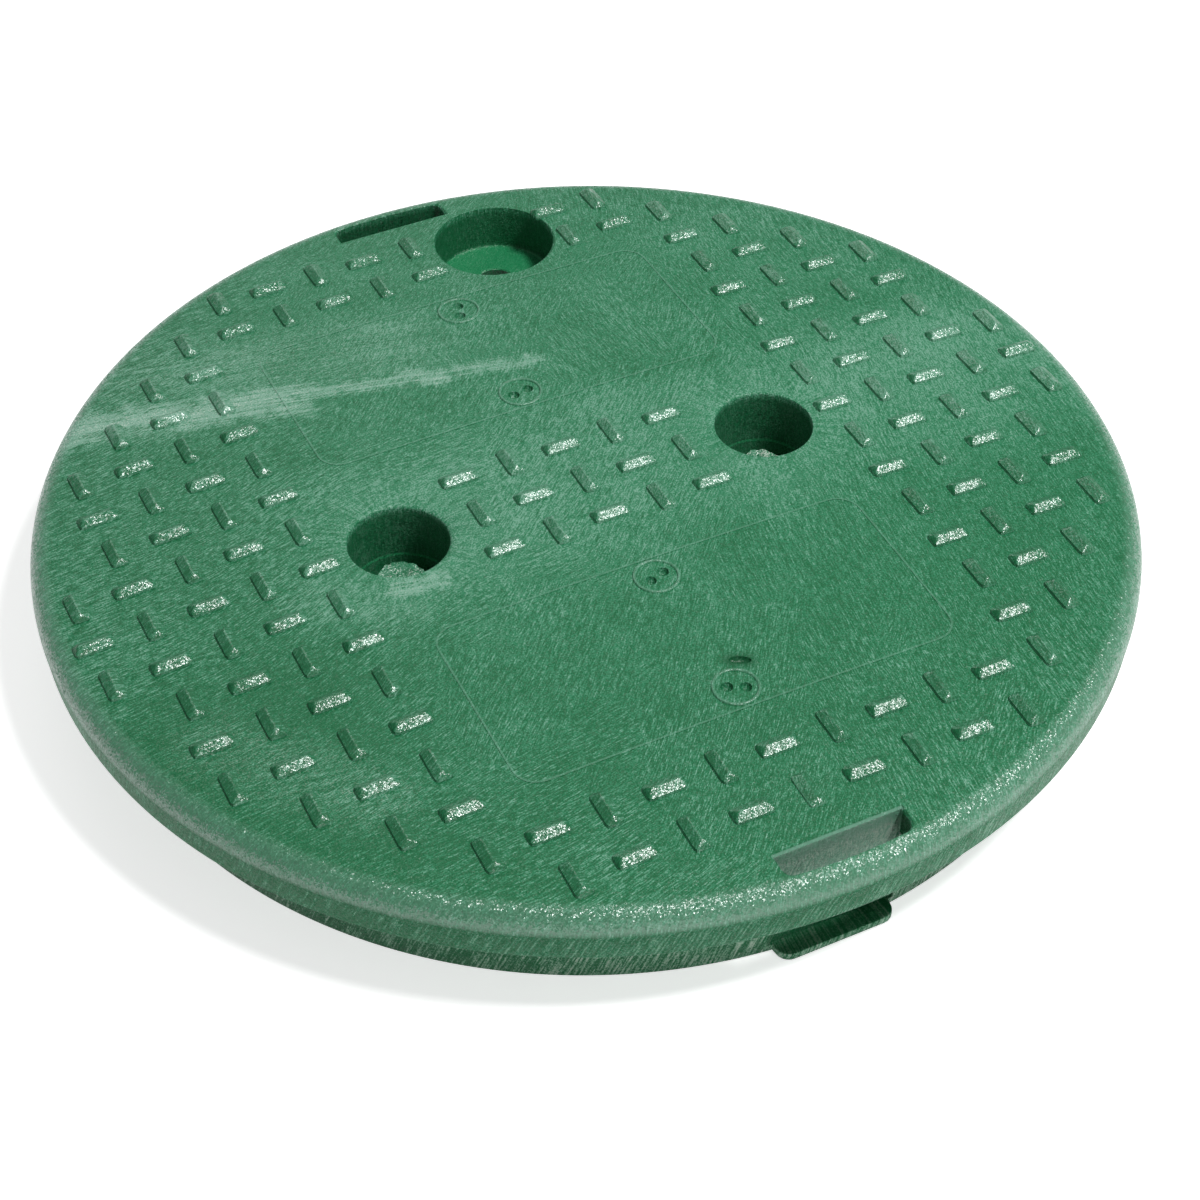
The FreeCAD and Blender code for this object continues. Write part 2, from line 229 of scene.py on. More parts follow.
def work_in(body: bpy.types.Object, shapes: Sequence[Shape], operation: Operation) -> None:
    """Add shapes to the body, or cut them out of it.

    Args:
        body: The object that is changed.
        shapes: Closed shapes in millimetres, which are used up.
        operation: Whether the shapes are added or cut.
    """
    tools = bpy.data.collections.new("tools")
    bpy.context.scene.collection.children.link(tools)
    for number, shape in enumerate(shapes):
        tool = to_object(shape, f"tool_{number}")
        bpy.context.scene.collection.objects.unlink(tool)
        tools.objects.link(tool)
    modifier = body.modifiers.new("work", "BOOLEAN")
    modifier.operation = operation.value
    modifier.operand_type = "COLLECTION"
    modifier.collection = tools
    modifier.solver = "MANIFOLD"
    bpy.context.view_layer.update()
    worked = body.evaluated_get(bpy.context.evaluated_depsgraph_get())
    mesh = bpy.data.meshes.new_from_object(worked)
    body.modifiers.clear()
    old = body.data
    body.data = mesh
    bpy.data.meshes.remove(old)
    for tool in list(tools.objects):
        data = tool.data
        bpy.data.objects.remove(tool)
        bpy.data.meshes.remove(data)
    bpy.data.collections.remove(tools)
    log.info("%s: %d faces after %s", body.name, len(mesh.polygons), operation.name.lower())


@dataclass(frozen=True)
class Crown:
    """The large ball that the top of the cover follows."""

    rim_radius: float
    height: float = 31.75
    drop: float = 3.25

    @property
    def radius(self) -> float:
        """Return the radius of the ball."""
        return (self.rim_radius ** 2 + self.drop ** 2) / (2 * self.drop)

    def level(self, x: float, y: float = 0.0) -> float:
        """Return the height of the top at a point of the plan."""
        return self.height - self.radius + math.sqrt(self.radius ** 2 - x * x - y * y)

    def place(self, x: float, y: float, turn: float = 0.0, lift: float = 0.0) -> Matrix:
        """Return a placement on the top, square to it.

        Args:
            x: Place along X.
            y: Place along Y.
            turn: Turn about the normal, in radians.
            lift: Height above the top.

        Returns:
            The placement.
        """
        normal = Vector((x, y, self.level(x, y) - self.height + self.radius)).normalized()
        tilt = Z_AXIS.rotation_difference(normal).to_matrix().to_4x4()
        foot = Vector((x, y, self.level(x, y)))
        return Matrix.Translation(foot + normal * lift) @ tilt @ Matrix.Rotation(turn, 4, "Z")


@dataclass(frozen=True)
class Panels:
    """The two bare panels of the top, one on either side of the wells."""

    length: float = 101.6
    width: float = 48.0
    middle: float = 53.2


@dataclass
class Shell:
    """The crowned plate, the rim with its hanging lip, the seat and the skirt."""

    crown: Crown
    rim_round: float = 4.75
    parting_gap: float = 0.6
    parting_step: float = 0.16
    parting_fall: float = 0.12
    rim_edge_height: float = 17.2
    rim_draft: float = 0.5
    lip_wall: float = 4.0
    seat_height: float = 22.1
    skirt_radius: float = 114.3
    skirt_wall: float = 4.5
    ceiling: float = 23.85
    ceiling_round: float = 1.2
    edge_round: float = 0.45
    steps: int = 256
    top_rings: int = 14
    ceiling_rings: int = 4
    brow_steps: int = 10
    edge_steps: int = 3

    @property
    def rim_foot(self) -> float:
        """Return the outside of the rim at its lower edge."""
        return self.crown.rim_radius - self.rim_draft

    @property
    def lip_radius(self) -> float:
        """Return the inside of the hanging lip."""
        return self.rim_foot - self.lip_wall

    @property
    def skirt_bore(self) -> float:
        """Return the inside of the skirt."""
        return self.skirt_radius - self.skirt_wall

    def lower_edge(self, outside: float, inside: float, height: float) -> Profile:
        """Return the rounded lower edge of a wall of the section.

        Args:
            outside: Outer radius of the wall.
            inside: Inner radius of the wall.
            height: Height of the edge.

        Returns:
            The points from the outside to the inside.
        """
        edge = self.edge_round
        outer = arc_points((outside - edge, height + edge), edge, 0, -90, self.edge_steps)
        return outer + arc_points((inside + edge, height + edge), edge, -90, -180, self.edge_steps)

    def section(self) -> Profile:
        """Draw the section of the shell.

        Returns:
            The points from the middle of the top round to the middle of the ceiling.
        """
        rim = self.crown.rim_radius
        inset = rim - self.rim_round
        reach = self.crown.radius - self.rim_round
        turn = math.acos(inset / reach)
        brow = self.crown.height - self.crown.radius + math.sqrt(reach ** 2 - inset ** 2)
        parting = brow - self.parting_gap
        top_radius = self.crown.radius * math.cos(turn)
        spots = [top_radius * ring / self.top_rings for ring in range(self.top_rings)]
        points = [(spot, self.crown.level(spot)) for spot in spots]
        points += arc_points((inset, brow), self.rim_round, math.degrees(turn), 0, self.brow_steps)
        points += [(rim, parting), (rim - self.parting_step, parting - self.parting_fall)]
        points += self.lower_edge(self.rim_foot, self.lip_radius, self.rim_edge_height)
        points += [(self.lip_radius, self.seat_height), (self.skirt_radius, self.seat_height)]
        points += self.lower_edge(self.skirt_radius, self.skirt_bore, 0)
        fillet = self.ceiling_round
        middle = (self.skirt_bore - fillet, self.ceiling - fillet)
        points += arc_points(middle, fillet, 0, 90, self.edge_steps)
        shares = [ring / self.ceiling_rings for ring in reversed(range(self.ceiling_rings))]
        return points + [(self.skirt_bore * share, self.ceiling) for share in shares]

    def build(self) -> bpy.types.Object:
        """Turn the section and return it as the cover's object."""
        return to_object(spin_profile(self.section(), self.steps), "cover")


@dataclass
class Stiffening:
    """Long and short radial ribs and two rings under the plate."""

    shell: Shell
    recess_turn: float
    rib_count: int = 12
    wall: float = 3.2
    edge_height: float = 9.4
    root: float = 1.0
    hub_radius: float = 12.0
    ring_radius: float = 60.0
    ring_gap: float = 0.15
    ring_steps: int = 128
    edge_round: float = 0.4

    @property
    def top(self) -> float:
        """Return the height inside the plate that what hangs under it reaches."""
        return self.shell.ceiling + self.root

    def rib(self, start: float, turn: float) -> Shape:
        """Make one rib that runs out to the skirt.

        Args:
            start: Radius at which the rib starts.
            turn: Turn about Z in radians.

        Returns:
            The rib.
        """
        half = self.wall / 2
        end = self.shell.skirt_radius - self.shell.skirt_wall / 2
        rib = box_shape((start - half, -half, self.edge_height), (end, half, self.top), self.edge_round)
        return turn_about(rib, turn)

    def ring(self, radius: float) -> Shape:
        """Make one ring, with its lower edge just above the ribs' edges.

        Args:
            radius: Outside radius of the ring.

        Returns:
            The ring.
        """
        low = self.edge_height + self.ring_gap
        inside = radius - self.wall
        profile = [(inside, low), (radius, low), (radius, self.top), (inside, self.top)]
        return spin_profile(profile, self.ring_steps)

    def shapes(self) -> list[Shape]:
        """Make all the stiffening, with ribs that straddle the bolt recess.

        Returns:
            The rings and the ribs.
        """
        step = FULL_TURN / self.rib_count
        shapes = [self.ring(self.hub_radius), self.ring(self.ring_radius)]
        for number in range(self.rib_count):
            turn = self.recess_turn + step * number
            shapes.append(self.rib(self.hub_radius, turn + step / 4))
            shapes.append(self.rib(self.ring_radius, turn - step / 4))
        return shapes


@dataclass(kw_only=True)
class Pocket:
    """A round hollow in the top, inside a boss that hangs under the plate."""

    crown: Crown
    x: float
    y: float
    radius: float
    floor: float
    steps: int
    boss_steps: int
    mouth_clear: float
    wall: float = 3.5
    floor_round: float = 1.0
    floor_steps: int = 3
    edge_round: float = 0.7
    edge_turn: Span = (180.0, 105.0)
    edge_steps: int = 4
    mouth_flare: float = 0.6

    @property
    def foot(self) -> float:
        """Return the height of the lower end of the boss."""
        return self.floor - self.wall

    def corner(self, radius: float, height: float) -> Profile:
        """Return the rounded corner between a flat end and an upright wall."""
        middle = (radius - self.floor_round, height + self.floor_round)
        return arc_points(middle, self.floor_round, -90, 0, self.floor_steps)

    def boss(self, root: float) -> Shape:
        """Make the closed boss that hangs under the plate.

        Args:
            root: Height inside the plate that the boss reaches.

        Returns:
            The boss, at its place.
        """
        outside = self.radius + self.wall
        profile = [(0, self.foot), *self.corner(outside, self.foot), (outside, root), (0, root)]
        return self.stand(spin_profile(profile, self.boss_steps))

    def hollow(self, floor: Profile) -> Shape:
        """Return the hollow with a rounded mouth.

        Args:
            floor: Points of the section from the axis out to the flat of the floor.

        Returns:
            The hollow, at its place.
        """
        level = self.crown.level(self.x, self.y)
        clear = level + self.mouth_clear
        edge = (self.radius + self.edge_round, level - self.edge_round)
        mouth = arc_points(edge, self.edge_round, *self.edge_turn, self.edge_steps)
        profile = [*floor, *self.corner(self.radius, self.floor), *mouth]
        profile += [(mouth[-1][0] + self.mouth_flare, clear), (0, clear)]
        return self.stand(spin_profile(profile, self.steps))

    def stand(self, bm: Shape) -> Shape:
        """Move a shape from the origin to the pocket's axis and return it."""
        bmesh.ops.translate(bm, vec=(self.x, self.y, 0), verts=bm.verts)
        return bm


@dataclass(kw_only=True)
class GateWell(Pocket):
    """A deep round well over an injection gate, with the broken-off sprue standing in it."""

    stub_length: float
    seed: float
    whisker: bool = False
    y: float = 0.0
    radius: float = 11.25
    floor: float = 11.9
    steps: int = 72
    boss_steps: int = 64
    mouth_clear: float = 0.4
    stub_radius: float = 5.3
    stub_taper: float = 0.25
    stub_root: float = 0.6
    stub_steps: int = 36
    stub_insets: tuple[float, ...] = (0.35, 0.8, 1.0, 1.0, 1.0)
    tear_band: float = 0.1
    tear_scales: Triple = (0.55, 3.1, 2.3)
    tear_heights: Triple = (0.9, 0.5, 0.12)
    tear_limit: float = 0.9
    tear_dish: float = 0.35
    whisker_band: float = 0.8
    whisker_pull: Triple = (-0.25, -0.1, 0.75)

    def cutter(self) -> Shape:
        """Return the hollow of the well."""
        return self.hollow([(0, self.floor)])

    def stub(self) -> Shape:
        """Make the sprue, torn and uneven at its end.

        Returns:
            The sprue, at its place.
        """
        bm = bmesh.new()
        top = self.floor + self.stub_length
        length = self.stub_length + self.stub_root
        bmesh.ops.create_cone(
            bm, cap_ends=True, cap_tris=False, segments=self.stub_steps,
            radius1=self.stub_radius + self.stub_taper, radius2=self.stub_radius, depth=length,
            matrix=Matrix.Translation((0, 0, top - length / 2)),
        )
        end = top_face(bm)
        for inset in self.stub_insets:
            bmesh.ops.inset_region(bm, faces=[end], thickness=inset, use_even_offset=True)
        self.tear(bm, top)
        bmesh.ops.recalc_face_normals(bm, faces=bm.faces)
        return self.stand(bm)

    def tear(self, bm: Shape, top: float) -> None:
        """Make the end of the sprue uneven, and pull a whisker out of it if it has one.

        Args:
            bm: The sprue, at the origin.
            top: Height of its end.
        """
        scale, fine_scale, sway_scale = self.tear_scales
        height, fine_height, sway = self.tear_heights
        for vert in bm.verts:
            if vert.co.z > top - self.tear_band:
                spot = vert.co * scale + Vector((self.seed, 0, 0))
                share = vert.co.xy.length / self.stub_radius
                rise = noise.noise(spot) * height + noise.noise(spot * fine_scale) * fine_height
                vert.co.z += min(self.tear_limit, rise - self.tear_dish * (1 - share))
                vert.co.x += noise.noise(spot * sway_scale) * sway
        if self.whisker:
            ends = [vert for vert in bm.verts if vert.co.z > top - self.whisker_band]
            corner = min(ends, key=lambda vert: vert.co.x + vert.co.y)
            corner.co += Vector(self.whisker_pull)


@dataclass(kw_only=True)
class BoltRecess(Pocket):
    """The counterbored recess near the back slot, with the bolt's clearance hole in its floor."""

    hole_radius: float
    radius: float = 14.9
    floor: float = 17.2
    steps: int = 96
    boss_steps: int = 72
    mouth_clear: float = 0.6
    hole_flare: float = 0.4
    hole_edge: float = 0.3
    hole_clear: float = 1.0

    def cutter(self) -> Shape:
        """Make the hollow of the recess and of its hole as one turned shape.

        Returns:
            The hollow, at its place.
        """
        hole = self.hole_radius
        flare = hole + self.hole_flare
        below = self.foot - self.hole_clear
        outlet = [(0, below), (flare, below), (flare, self.foot), (hole, self.foot + self.hole_flare)]
        inlet = [(hole, self.floor - self.hole_edge), (hole + self.hole_edge, self.floor)]
        return self.hollow(outlet + inlet)


@dataclass
class Latch:
    """A pry slot through the rim and the latch tab below it, at one end of the cover."""

    shell: Shell
    side: int
    slot_length: float = 28.6
    slot_reach: float = 113.0
    slot_corner: float = 2.0
    slot_corner_steps: int = 4
    slot_steps: int = 360
    mouth_inset: float = 3.0
    mouth_round: float = 0.5
    mouth_flare: float = 0.42
    clear_rise: float = 1.5
    clear_flare: float = 1.2
    tab_length: float = 26.6
    tab_reach: float = 117.5
    tab_wall: float = 2.0
    tab_gap: float = 0.02
    tab_root: float = 1.0
    tab_corner: float = 3.0
    tab_corner_steps: int = 5
    tab_round: float = 0.35

    @property
    def inside(self) -> float:
        """Return a distance from the axis that is well inside the slot."""
        return self.slot_reach + self.mouth_inset

    def face_about(self, bm: Shape) -> Shape:
        """Turn a shape made at +Y to the latch's own end and return it."""
        return turn_about(bm, math.pi) if self.side < 0 else bm

    def plan(self) -> Shape:
        """Draw the flat plan of the slot, with its outer corners rounded.

        Returns:
            The plan as one face at +Y.
        """
        bm = bmesh.new()
        bmesh.ops.create_circle(bm, cap_ends=True, segments=self.slot_steps, radius=self.shell.lip_radius)
        half = self.slot_length / 2
        back = ((0, self.slot_reach, 0), (0, -1, 0))
        ends = [((half * sign, 0, 0), (sign, 0, 0)) for sign in (1, -1)]
        for place, normal in (back, *ends):
            everything = bm.verts[:] + bm.edges[:] + bm.faces[:]
            bmesh.ops.bisect_plane(bm, geom=everything, plane_co=place, plane_no=normal, clear_outer=True)
        corners = [v for v in bm.verts if abs(abs(v.co.x) - half) < NEAR and v.co.y > self.inside]
        bevel(bm, corners, self.slot_corner, self.slot_corner_steps, Rounded.CORNERS)
        return bm

    def cutter(self) -> Shape:
        """Make the hollow of the slot, with its mouth a little wider at the top.

        Returns:
            The hollow, at its end.
        """
        bm = self.plan()
        low = self.tab_wall
        mouth = self.shell.crown.level(0, self.inside)
        bmesh.ops.translate(bm, vec=(0, 0, low), verts=bm.verts)
        middle = Vector((0, self.inside, 0))
        near_end = self.slot_length / 2 - self.mouth_inset
        wall = (mouth - self.mouth_round - low, 0.0)
        face = bm.faces[:]
        for rise, widen in (wall, (self.mouth_round, self.mouth_flare), (self.clear_rise, self.clear_flare)):
            grown = bmesh.ops.extrude_face_region(bm, geom=face)["geom"]
            if widen:
                bmesh.ops.delete(bm, geom=face, context="FACES_ONLY")
            verts = [item for item in grown if isinstance(item, bmesh.types.BMVert)]
            face = [item for item in grown if isinstance(item, bmesh.types.BMFace)]
            bmesh.ops.translate(bm, vec=(0, 0, rise), verts=verts)
            for vert in verts:
                away = vert.co - middle
                vert.co.x += math.copysign(widen, away.x) if abs(away.x) > near_end else 0
                vert.co.y += math.copysign(widen, away.y)
        bmesh.ops.recalc_face_normals(bm, faces=bm.faces)
        return self.face_about(bm)

    def tab(self) -> Shape:
        """Make the latch tab with its rounded corners.

        Returns:
            The tab, at its end.
        """
        half = self.tab_length / 2
        root = self.shell.skirt_bore + self.tab_root
        bm = box_shape((-half, root, self.tab_gap), (half, self.tab_reach, self.tab_wall))
        front = [edge for edge in bm.edges if min(v.co.y for v in edge.verts) > self.tab_reach - NEAR]
        uprights = [edge for edge in front if run_along(edge, 0) < NEAR]
        bevel(bm, uprights, self.tab_corner, self.tab_corner_steps)
        free = [edge for edge in bm.edges if min(v.co.y for v in edge.verts) > root + NEAR]
        bevel(bm, [edge for edge in free if run_along(edge, 2) < NEAR], self.tab_round, EDGE_STEPS)
        return self.face_about(bm)


@dataclass
class Tread:
    """Raised bars on a square lattice, turned by turns along X and Y."""

    crown: Crown
    panels: Panels
    well: GateWell
    recess: BoltRecess
    latch: Latch
    pitch: float = 12.7
    reach: float = 115.6
    length: float = 9.2
    width: float = 4.2
    corner: float = 1.0
    root: float = 0.35
    flanks: tuple[Triple, ...] = ((0.20, 0.20, 0.60), (1.15, 1.60, 0.96), (0.20, 0.12, 0.06))
    panel_gap: float = 4.5
    hole_gap: float = 3.5
    worn_bar: tuple[int, int] = (0, -8)
    worn_share: float = 0.7
    wear: float = 0.06
    wear_scale: float = 0.7
    wear_layer: float = 3.0
    sink: float = 0.2

    def bar(self) -> Shape:
        """Make one bar along X, with leaning sides that round over to a narrow top.

        Returns:
            The bar, at the origin.
        """
        bm = box_shape((-self.length / 2, -self.width / 2, -self.root), (self.length / 2, self.width / 2, 0))
        bevel(bm, [edge for edge in bm.edges if run_along(edge, 2) > NEAR], self.corner, EDGE_STEPS)
        top = top_face(bm)
        reach = Vector((self.length, self.width, 1))
        margin = self.corner / 10
        for end_inset, side_inset, rise in self.flanks:
            bmesh.ops.inset_region(bm, faces=[top], thickness=margin, use_even_offset=True)
            inner = reach - Vector((end_inset, side_inset, 0)) * 2
            edge = reach - Vector((margin, margin, 0)) * 2
            shrink = (inner.x / edge.x, inner.y / edge.y, 1)
            bmesh.ops.scale(bm, vec=shrink, verts=top.verts)
            bmesh.ops.translate(bm, vec=(0, 0, rise), verts=top.verts)
            reach = inner
        return bm

    def is_clear(self, x: float, y: float) -> bool:
        """Tell whether a bar may stand at a point: off the bare panels, wells, recess and slots.

        Args:
            x: Place along X.
            y: Place along Y.

        Returns:
            True where a bar may stand.
        """
        on_panel = (
            abs(x) < self.panels.length / 2 + self.panel_gap
            and abs(abs(y) - self.panels.middle) < self.panels.width / 2 + self.panel_gap
        )
        well = math.hypot(abs(x) - GATE_MIDDLE, y) - self.well.radius
        recess = math.hypot(x - self.recess.x, y - self.recess.y) - self.recess.radius
        slot = max(abs(x) - self.latch.slot_length / 2, self.latch.slot_reach - abs(y))
        return not on_panel and min(well, recess, slot) > self.hole_gap

    def share(self, column: int, row: int) -> float:
        """Work out how much of its full height a bar has.

        Args:
            column: Column of the lattice, counted from the middle.
            row: Row of the lattice, counted likewise.

        Returns:
            The share, which is less for the worn bar.
        """
        if (column, row) == self.worn_bar:
            return self.worn_share
        x = column * self.pitch * self.wear_scale
        y = row * self.pitch * self.wear_scale
        return 1 - self.wear * abs(noise.noise((x, y, self.wear_layer)))

    def shapes(self) -> list[Shape]:
        """Set the bars on the lattice.

        Returns:
            All the bars, as one shape.
        """
        bar = self.bar()
        bars = bmesh.new()
        steps = int(self.reach // self.pitch)
        for column in range(-steps, steps + 1):
            for row in range(-steps, steps + 1):
                x = column * self.pitch
                y = row * self.pitch
                if math.hypot(x, y) > self.reach or not self.is_clear(x, y):
                    continue
                turn = 0 if (column + row) % 2 else math.pi / 2
                share = self.share(column, row)
                place = self.crown.place(x, y, turn, (share - 1) * self.sink)
                copy_into(bars, bar, place @ Matrix.Diagonal((1, 1, share, 1)))
        bar.free()
        return [bars]


@dataclass
class Witness:
    """Marks left by the mould on the bare panels: ejector discs, plate joints and small pits."""

    crown: Crown
    panels: Panels
    disc_radius: float = 4.85
    disc_ridge: float = 0.36
    disc_root: float = 0.08
    disc_steps: int = 56
    ridge_steps: int = 6
    pit_radius: float = 1.35
    pit_depth: float = 1.4
    pit_spacing: float = 3.9
    ball_steps: tuple[int, int] = (16, 10)
    plate_corner: float = 5.5
    plate_corner_steps: int = 6
    plate_cuts: int = 12
    joint_ridge: float = 0.12
    joint_root: float = 0.15
    joint_width: float = 0.45
    dent: Span = (4.3, -64.8)
    dent_turn: float = -26.0
    dent_size: Triple = (2.4, 1.1, 1.1)
    discs: tuple[Span, ...] = ((71.2, 74.0), (35.1, 12.0), (-35.1, 20.0), (-71.2, -25.0))

    def rings(self) -> list[Shape]:
        """Make the thin raised ring round each disc.

        Returns:
            The rings, at their places.
        """
        shapes = []
        for y, _ in self.discs:
            middle = (self.disc_radius, -self.disc_root)
            ridge = arc_points(middle, self.disc_ridge + self.disc_root, 180, 0, self.ridge_steps)
            ring = spin_profile(ridge, self.disc_steps)
            bmesh.ops.transform(ring, matrix=self.crown.place(0, y), verts=ring.verts)
            shapes.append(ring)
        return shapes

    def ball(self, size: Sequence[float], place: Matrix) -> Shape:
        """Make a ball that is drawn out along its axes.

        Args:
            size: Half sizes along X, Y and Z.
            place: Where the ball goes.

        Returns:
            The ball.
        """
        bm = bmesh.new()
        around, upwards = self.ball_steps
        bmesh.ops.create_uvsphere(bm, u_segments=around, v_segments=upwards, radius=1)
        bmesh.ops.scale(bm, vec=size, verts=bm.verts)
        bmesh.ops.transform(bm, matrix=place, verts=bm.verts)
        return bm

    def pits(self) -> list[Shape]:
        """Make the hollows of two pits in each disc and of a dent beside the lowest one.

        Returns:
            The pits and the dent, at their places.
        """
        size = (self.pit_radius, self.pit_radius, self.pit_depth)
        shapes = []
        for y, tilt in self.discs:
            turn = math.radians(tilt)
            for sign in (-1, 1):
                away = self.pit_spacing / 2 * sign
                place = self.crown.place(away * math.cos(turn), y + away * math.sin(turn))
                shapes.append(self.ball(size, place))
        dent = self.ball(self.dent_size, self.crown.place(*self.dent, turn=math.radians(self.dent_turn)))
        return [*shapes, dent]

    def joint(self, middle: float) -> Shape:
        """Make the fine ridge round one bare panel.

        Args:
            middle: Place of the panel's middle along Y.

        Returns:
            The ridge, laid on the top.
        """
        bm = bmesh.new()
        bmesh.ops.create_grid(bm, x_segments=1, y_segments=1, size=0.5)
        bmesh.ops.scale(bm, vec=(self.panels.length, self.panels.width, 1), verts=bm.verts)
        bevel(bm, bm.verts[:], self.plate_corner, self.plate_corner_steps, Rounded.CORNERS)
        straight = [edge for edge in bm.edges if edge.calc_length() > self.plate_corner]
        bmesh.ops.subdivide_edges(bm, edges=straight, cuts=self.plate_cuts)
        bmesh.ops.inset_region(
            bm, faces=bm.faces[:], thickness=self.joint_width, use_even_offset=True, use_boundary=True,
        )
        inner = max(bm.faces, key=lambda face: face.calc_area())
        bmesh.ops.delete(bm, geom=[inner], context="FACES")
        grown = bmesh.ops.extrude_face_region(bm, geom=bm.faces[:], use_keep_orig=True)["geom"]
        raised = {item for item in grown if isinstance(item, bmesh.types.BMVert)}
        for vert in bm.verts:
            vert.co.y += middle
            height = self.joint_ridge if vert in raised else -self.joint_root
            vert.co.z = self.crown.level(vert.co.x, vert.co.y) + height
        bmesh.ops.recalc_face_normals(bm, faces=bm.faces)
        return bm

    def joints(self) -> list[Shape]:
        """Return the fine ridges round both bare panels."""
        return [self.joint(sign * self.panels.middle) for sign in (-1, 1)]


class Graph:
    """A material's node tree, with short calls for the nodes that the finishes use."""

    def __init__(self, name: str) -> None:
        """Start an empty material.

        Args:
            name: Name of the material.
        """
        self.material = bpy.data.materials.new(name)
        self.material.use_nodes = True
        self.tree = self.material.node_tree
        self.tree.nodes.clear()

    def node(self, kind: str, **settings: object) -> bpy.types.Node:
        """Add a node and set its properties.

        Args:
            kind: Type of the node, without its prefix.
            **settings: Properties of the node.

        Returns:
            The node.
        """
        item = self.tree.nodes.new(f"ShaderNode{kind}")
        for key, value in settings.items():
            setattr(item, key, value)
        return item

    def feed(self, socket: Socket, value: Value) -> None:
        """Link a socket to another one, or set it to a plain value.

        Args:
            socket: Socket that takes the value.
            value: Socket to link, or a plain value.
        """
        if isinstance(value, Socket):
            self.tree.links.new(value, socket)
        else:
            socket.default_value = value

    def math(self, operation: str, a: Value, b: Value = 0.0, c: Value = 0.0) -> Socket:
        """Do one sum on up to three values.

        Args:
            operation: Name of the sum.
            a: First value.
            b: Second value.
            c: Third value.

        Returns:
            The result.
        """
        item = self.node("Math", operation=operation)
        for socket, value in zip(item.inputs, (a, b, c)):
            self.feed(socket, value)
        return item.outputs[0]

    def times(self, first: Value, *others: Value) -> Socket:
        """Multiply some values.

        Args:
            first: First value.
            *others: The other values.

        Returns:
            The product.
        """
        for value in others:
            first = self.math("MULTIPLY", first, value)
        return first

    def most(self, first: Value, *others: Value) -> Socket:
        """Find the largest of some values.

        Args:
            first: First value.
            *others: The other values.

        Returns:
            The largest value.
        """
        for value in others:
            first = self.math("MAXIMUM", first, value)
        return first

    def outside(self, mask: Value) -> Socket:
        """Return the part that a mask leaves out."""
        return self.math("SUBTRACT", 1, mask)

    def length(self, x: Value, y: Value) -> Socket:
        """Return the length of a line from its two parts."""
        return self.math("SQRT", self.math("MULTIPLY_ADD", x, x, self.math("MULTIPLY", y, y)))

    def ramp(self, value: Value, low: float, high: float) -> Socket:
        """Make a smooth step.

        Args:
            value: What the step reads.
            low: Where it is 0.
            high: Where it is 1.

        Returns:
            The step, from 0 to 1.
        """
        item = self.node("MapRange", interpolation_type="SMOOTHSTEP")
        self.feed(item.inputs["Value"], value)
        item.inputs["From Min"].default_value = low
        item.inputs["From Max"].default_value = high
        return item.outputs["Result"]

    def vector(self, x: Value, y: Value, z: Value = 0.0) -> Socket:
        """Put a vector together.

        Args:
            x: Part along X.
            y: Part along Y.
            z: Part along Z.

        Returns:
            The vector.
        """
        item = self.node("CombineXYZ")
        for socket, value in zip(item.inputs, (x, y, z)):
            self.feed(socket, value)
        return item.outputs[0]

    def parts(self, vector: Socket) -> tuple[Socket, Socket, Socket]:
        """Take a vector apart.

        Args:
            vector: The vector.

        Returns:
            Its parts along X, Y and Z.
        """
        item = self.node("SeparateXYZ")
        self.feed(item.inputs[0], vector)
        return tuple(item.outputs)

    def arrow(self, operation: str, *values: Value) -> Socket:
        """Do one sum on vectors.

        Args:
            operation: Name of the sum.
            *values: What the sum reads, in the node's order.

        Returns:
            The vector that the sum gives.
        """
        item = self.node("VectorMath", operation=operation)
        sockets = [socket for socket in item.inputs if socket.enabled]
        for socket, value in zip(sockets, values):
            self.feed(socket, value)
        return item.outputs["Vector"]

    def turned(self, vector: Value, turn: float, scale: Triple) -> Socket:
        """Turn a vector about Z, then scale it.

        Args:
            vector: The vector.
            turn: Turn in degrees.
            scale: Scale along X, Y and Z.

        Returns:
            The new vector.
        """
        first = self.node("Mapping")
        self.feed(first.inputs["Vector"], vector)
        first.inputs["Rotation"].default_value = (0, 0, math.radians(turn))
        second = self.node("Mapping")
        self.feed(second.inputs["Vector"], first.outputs[0])
        second.inputs["Scale"].default_value = scale
        return second.outputs[0]

    def noise(self, vector: Value, scale: float, detail: float, rough: float, output: str = "Fac") -> Socket:
        """Lay a noise over a vector.

        Args:
            vector: Where the noise is read.
            scale: How fine it is.
            detail: How many finer noises it adds.
            rough: How strong those are.
            output: Name of the output, for numbers or for colours.

        Returns:
            The noise, about 0.5.
        """
        item = self.node("TexNoise", noise_dimensions="3D")
        self.feed(item.inputs["Vector"], vector)
        item.inputs["Scale"].default_value = scale
        item.inputs["Detail"].default_value = detail
        item.inputs["Roughness"].default_value = rough
        return item.outputs[output]

    def mix(self, share: Value, a: Value, b: Value) -> Socket:
        """Mix two colours.

        Args:
            share: Share of the second colour.
            a: First colour.
            b: Second colour.

        Returns:
            The mixed colour.
        """
        item = self.node("Mix", data_type="RGBA")
        for place, value in ((0, share), (6, a), (7, b)):
            self.feed(item.inputs[place], value)
        return item.outputs[2]

    def blend(self, share: Value, a: Value, b: Value) -> Socket:
        """Mix two numbers.

        Args:
            share: Share of the second number.
            a: First number.
            b: Second number.

        Returns:
            The mixed number.
        """
        item = self.node("Mix", data_type="FLOAT")
        for place, value in ((0, share), (2, a), (3, b)):
            self.feed(item.inputs[place], value)
        return item.outputs[0]

    def surface(self, shader: bpy.types.Node) -> None:
        """Give the material the surface that a shader makes."""
        self.feed(self.node("OutputMaterial").inputs["Surface"], shader.outputs[0])


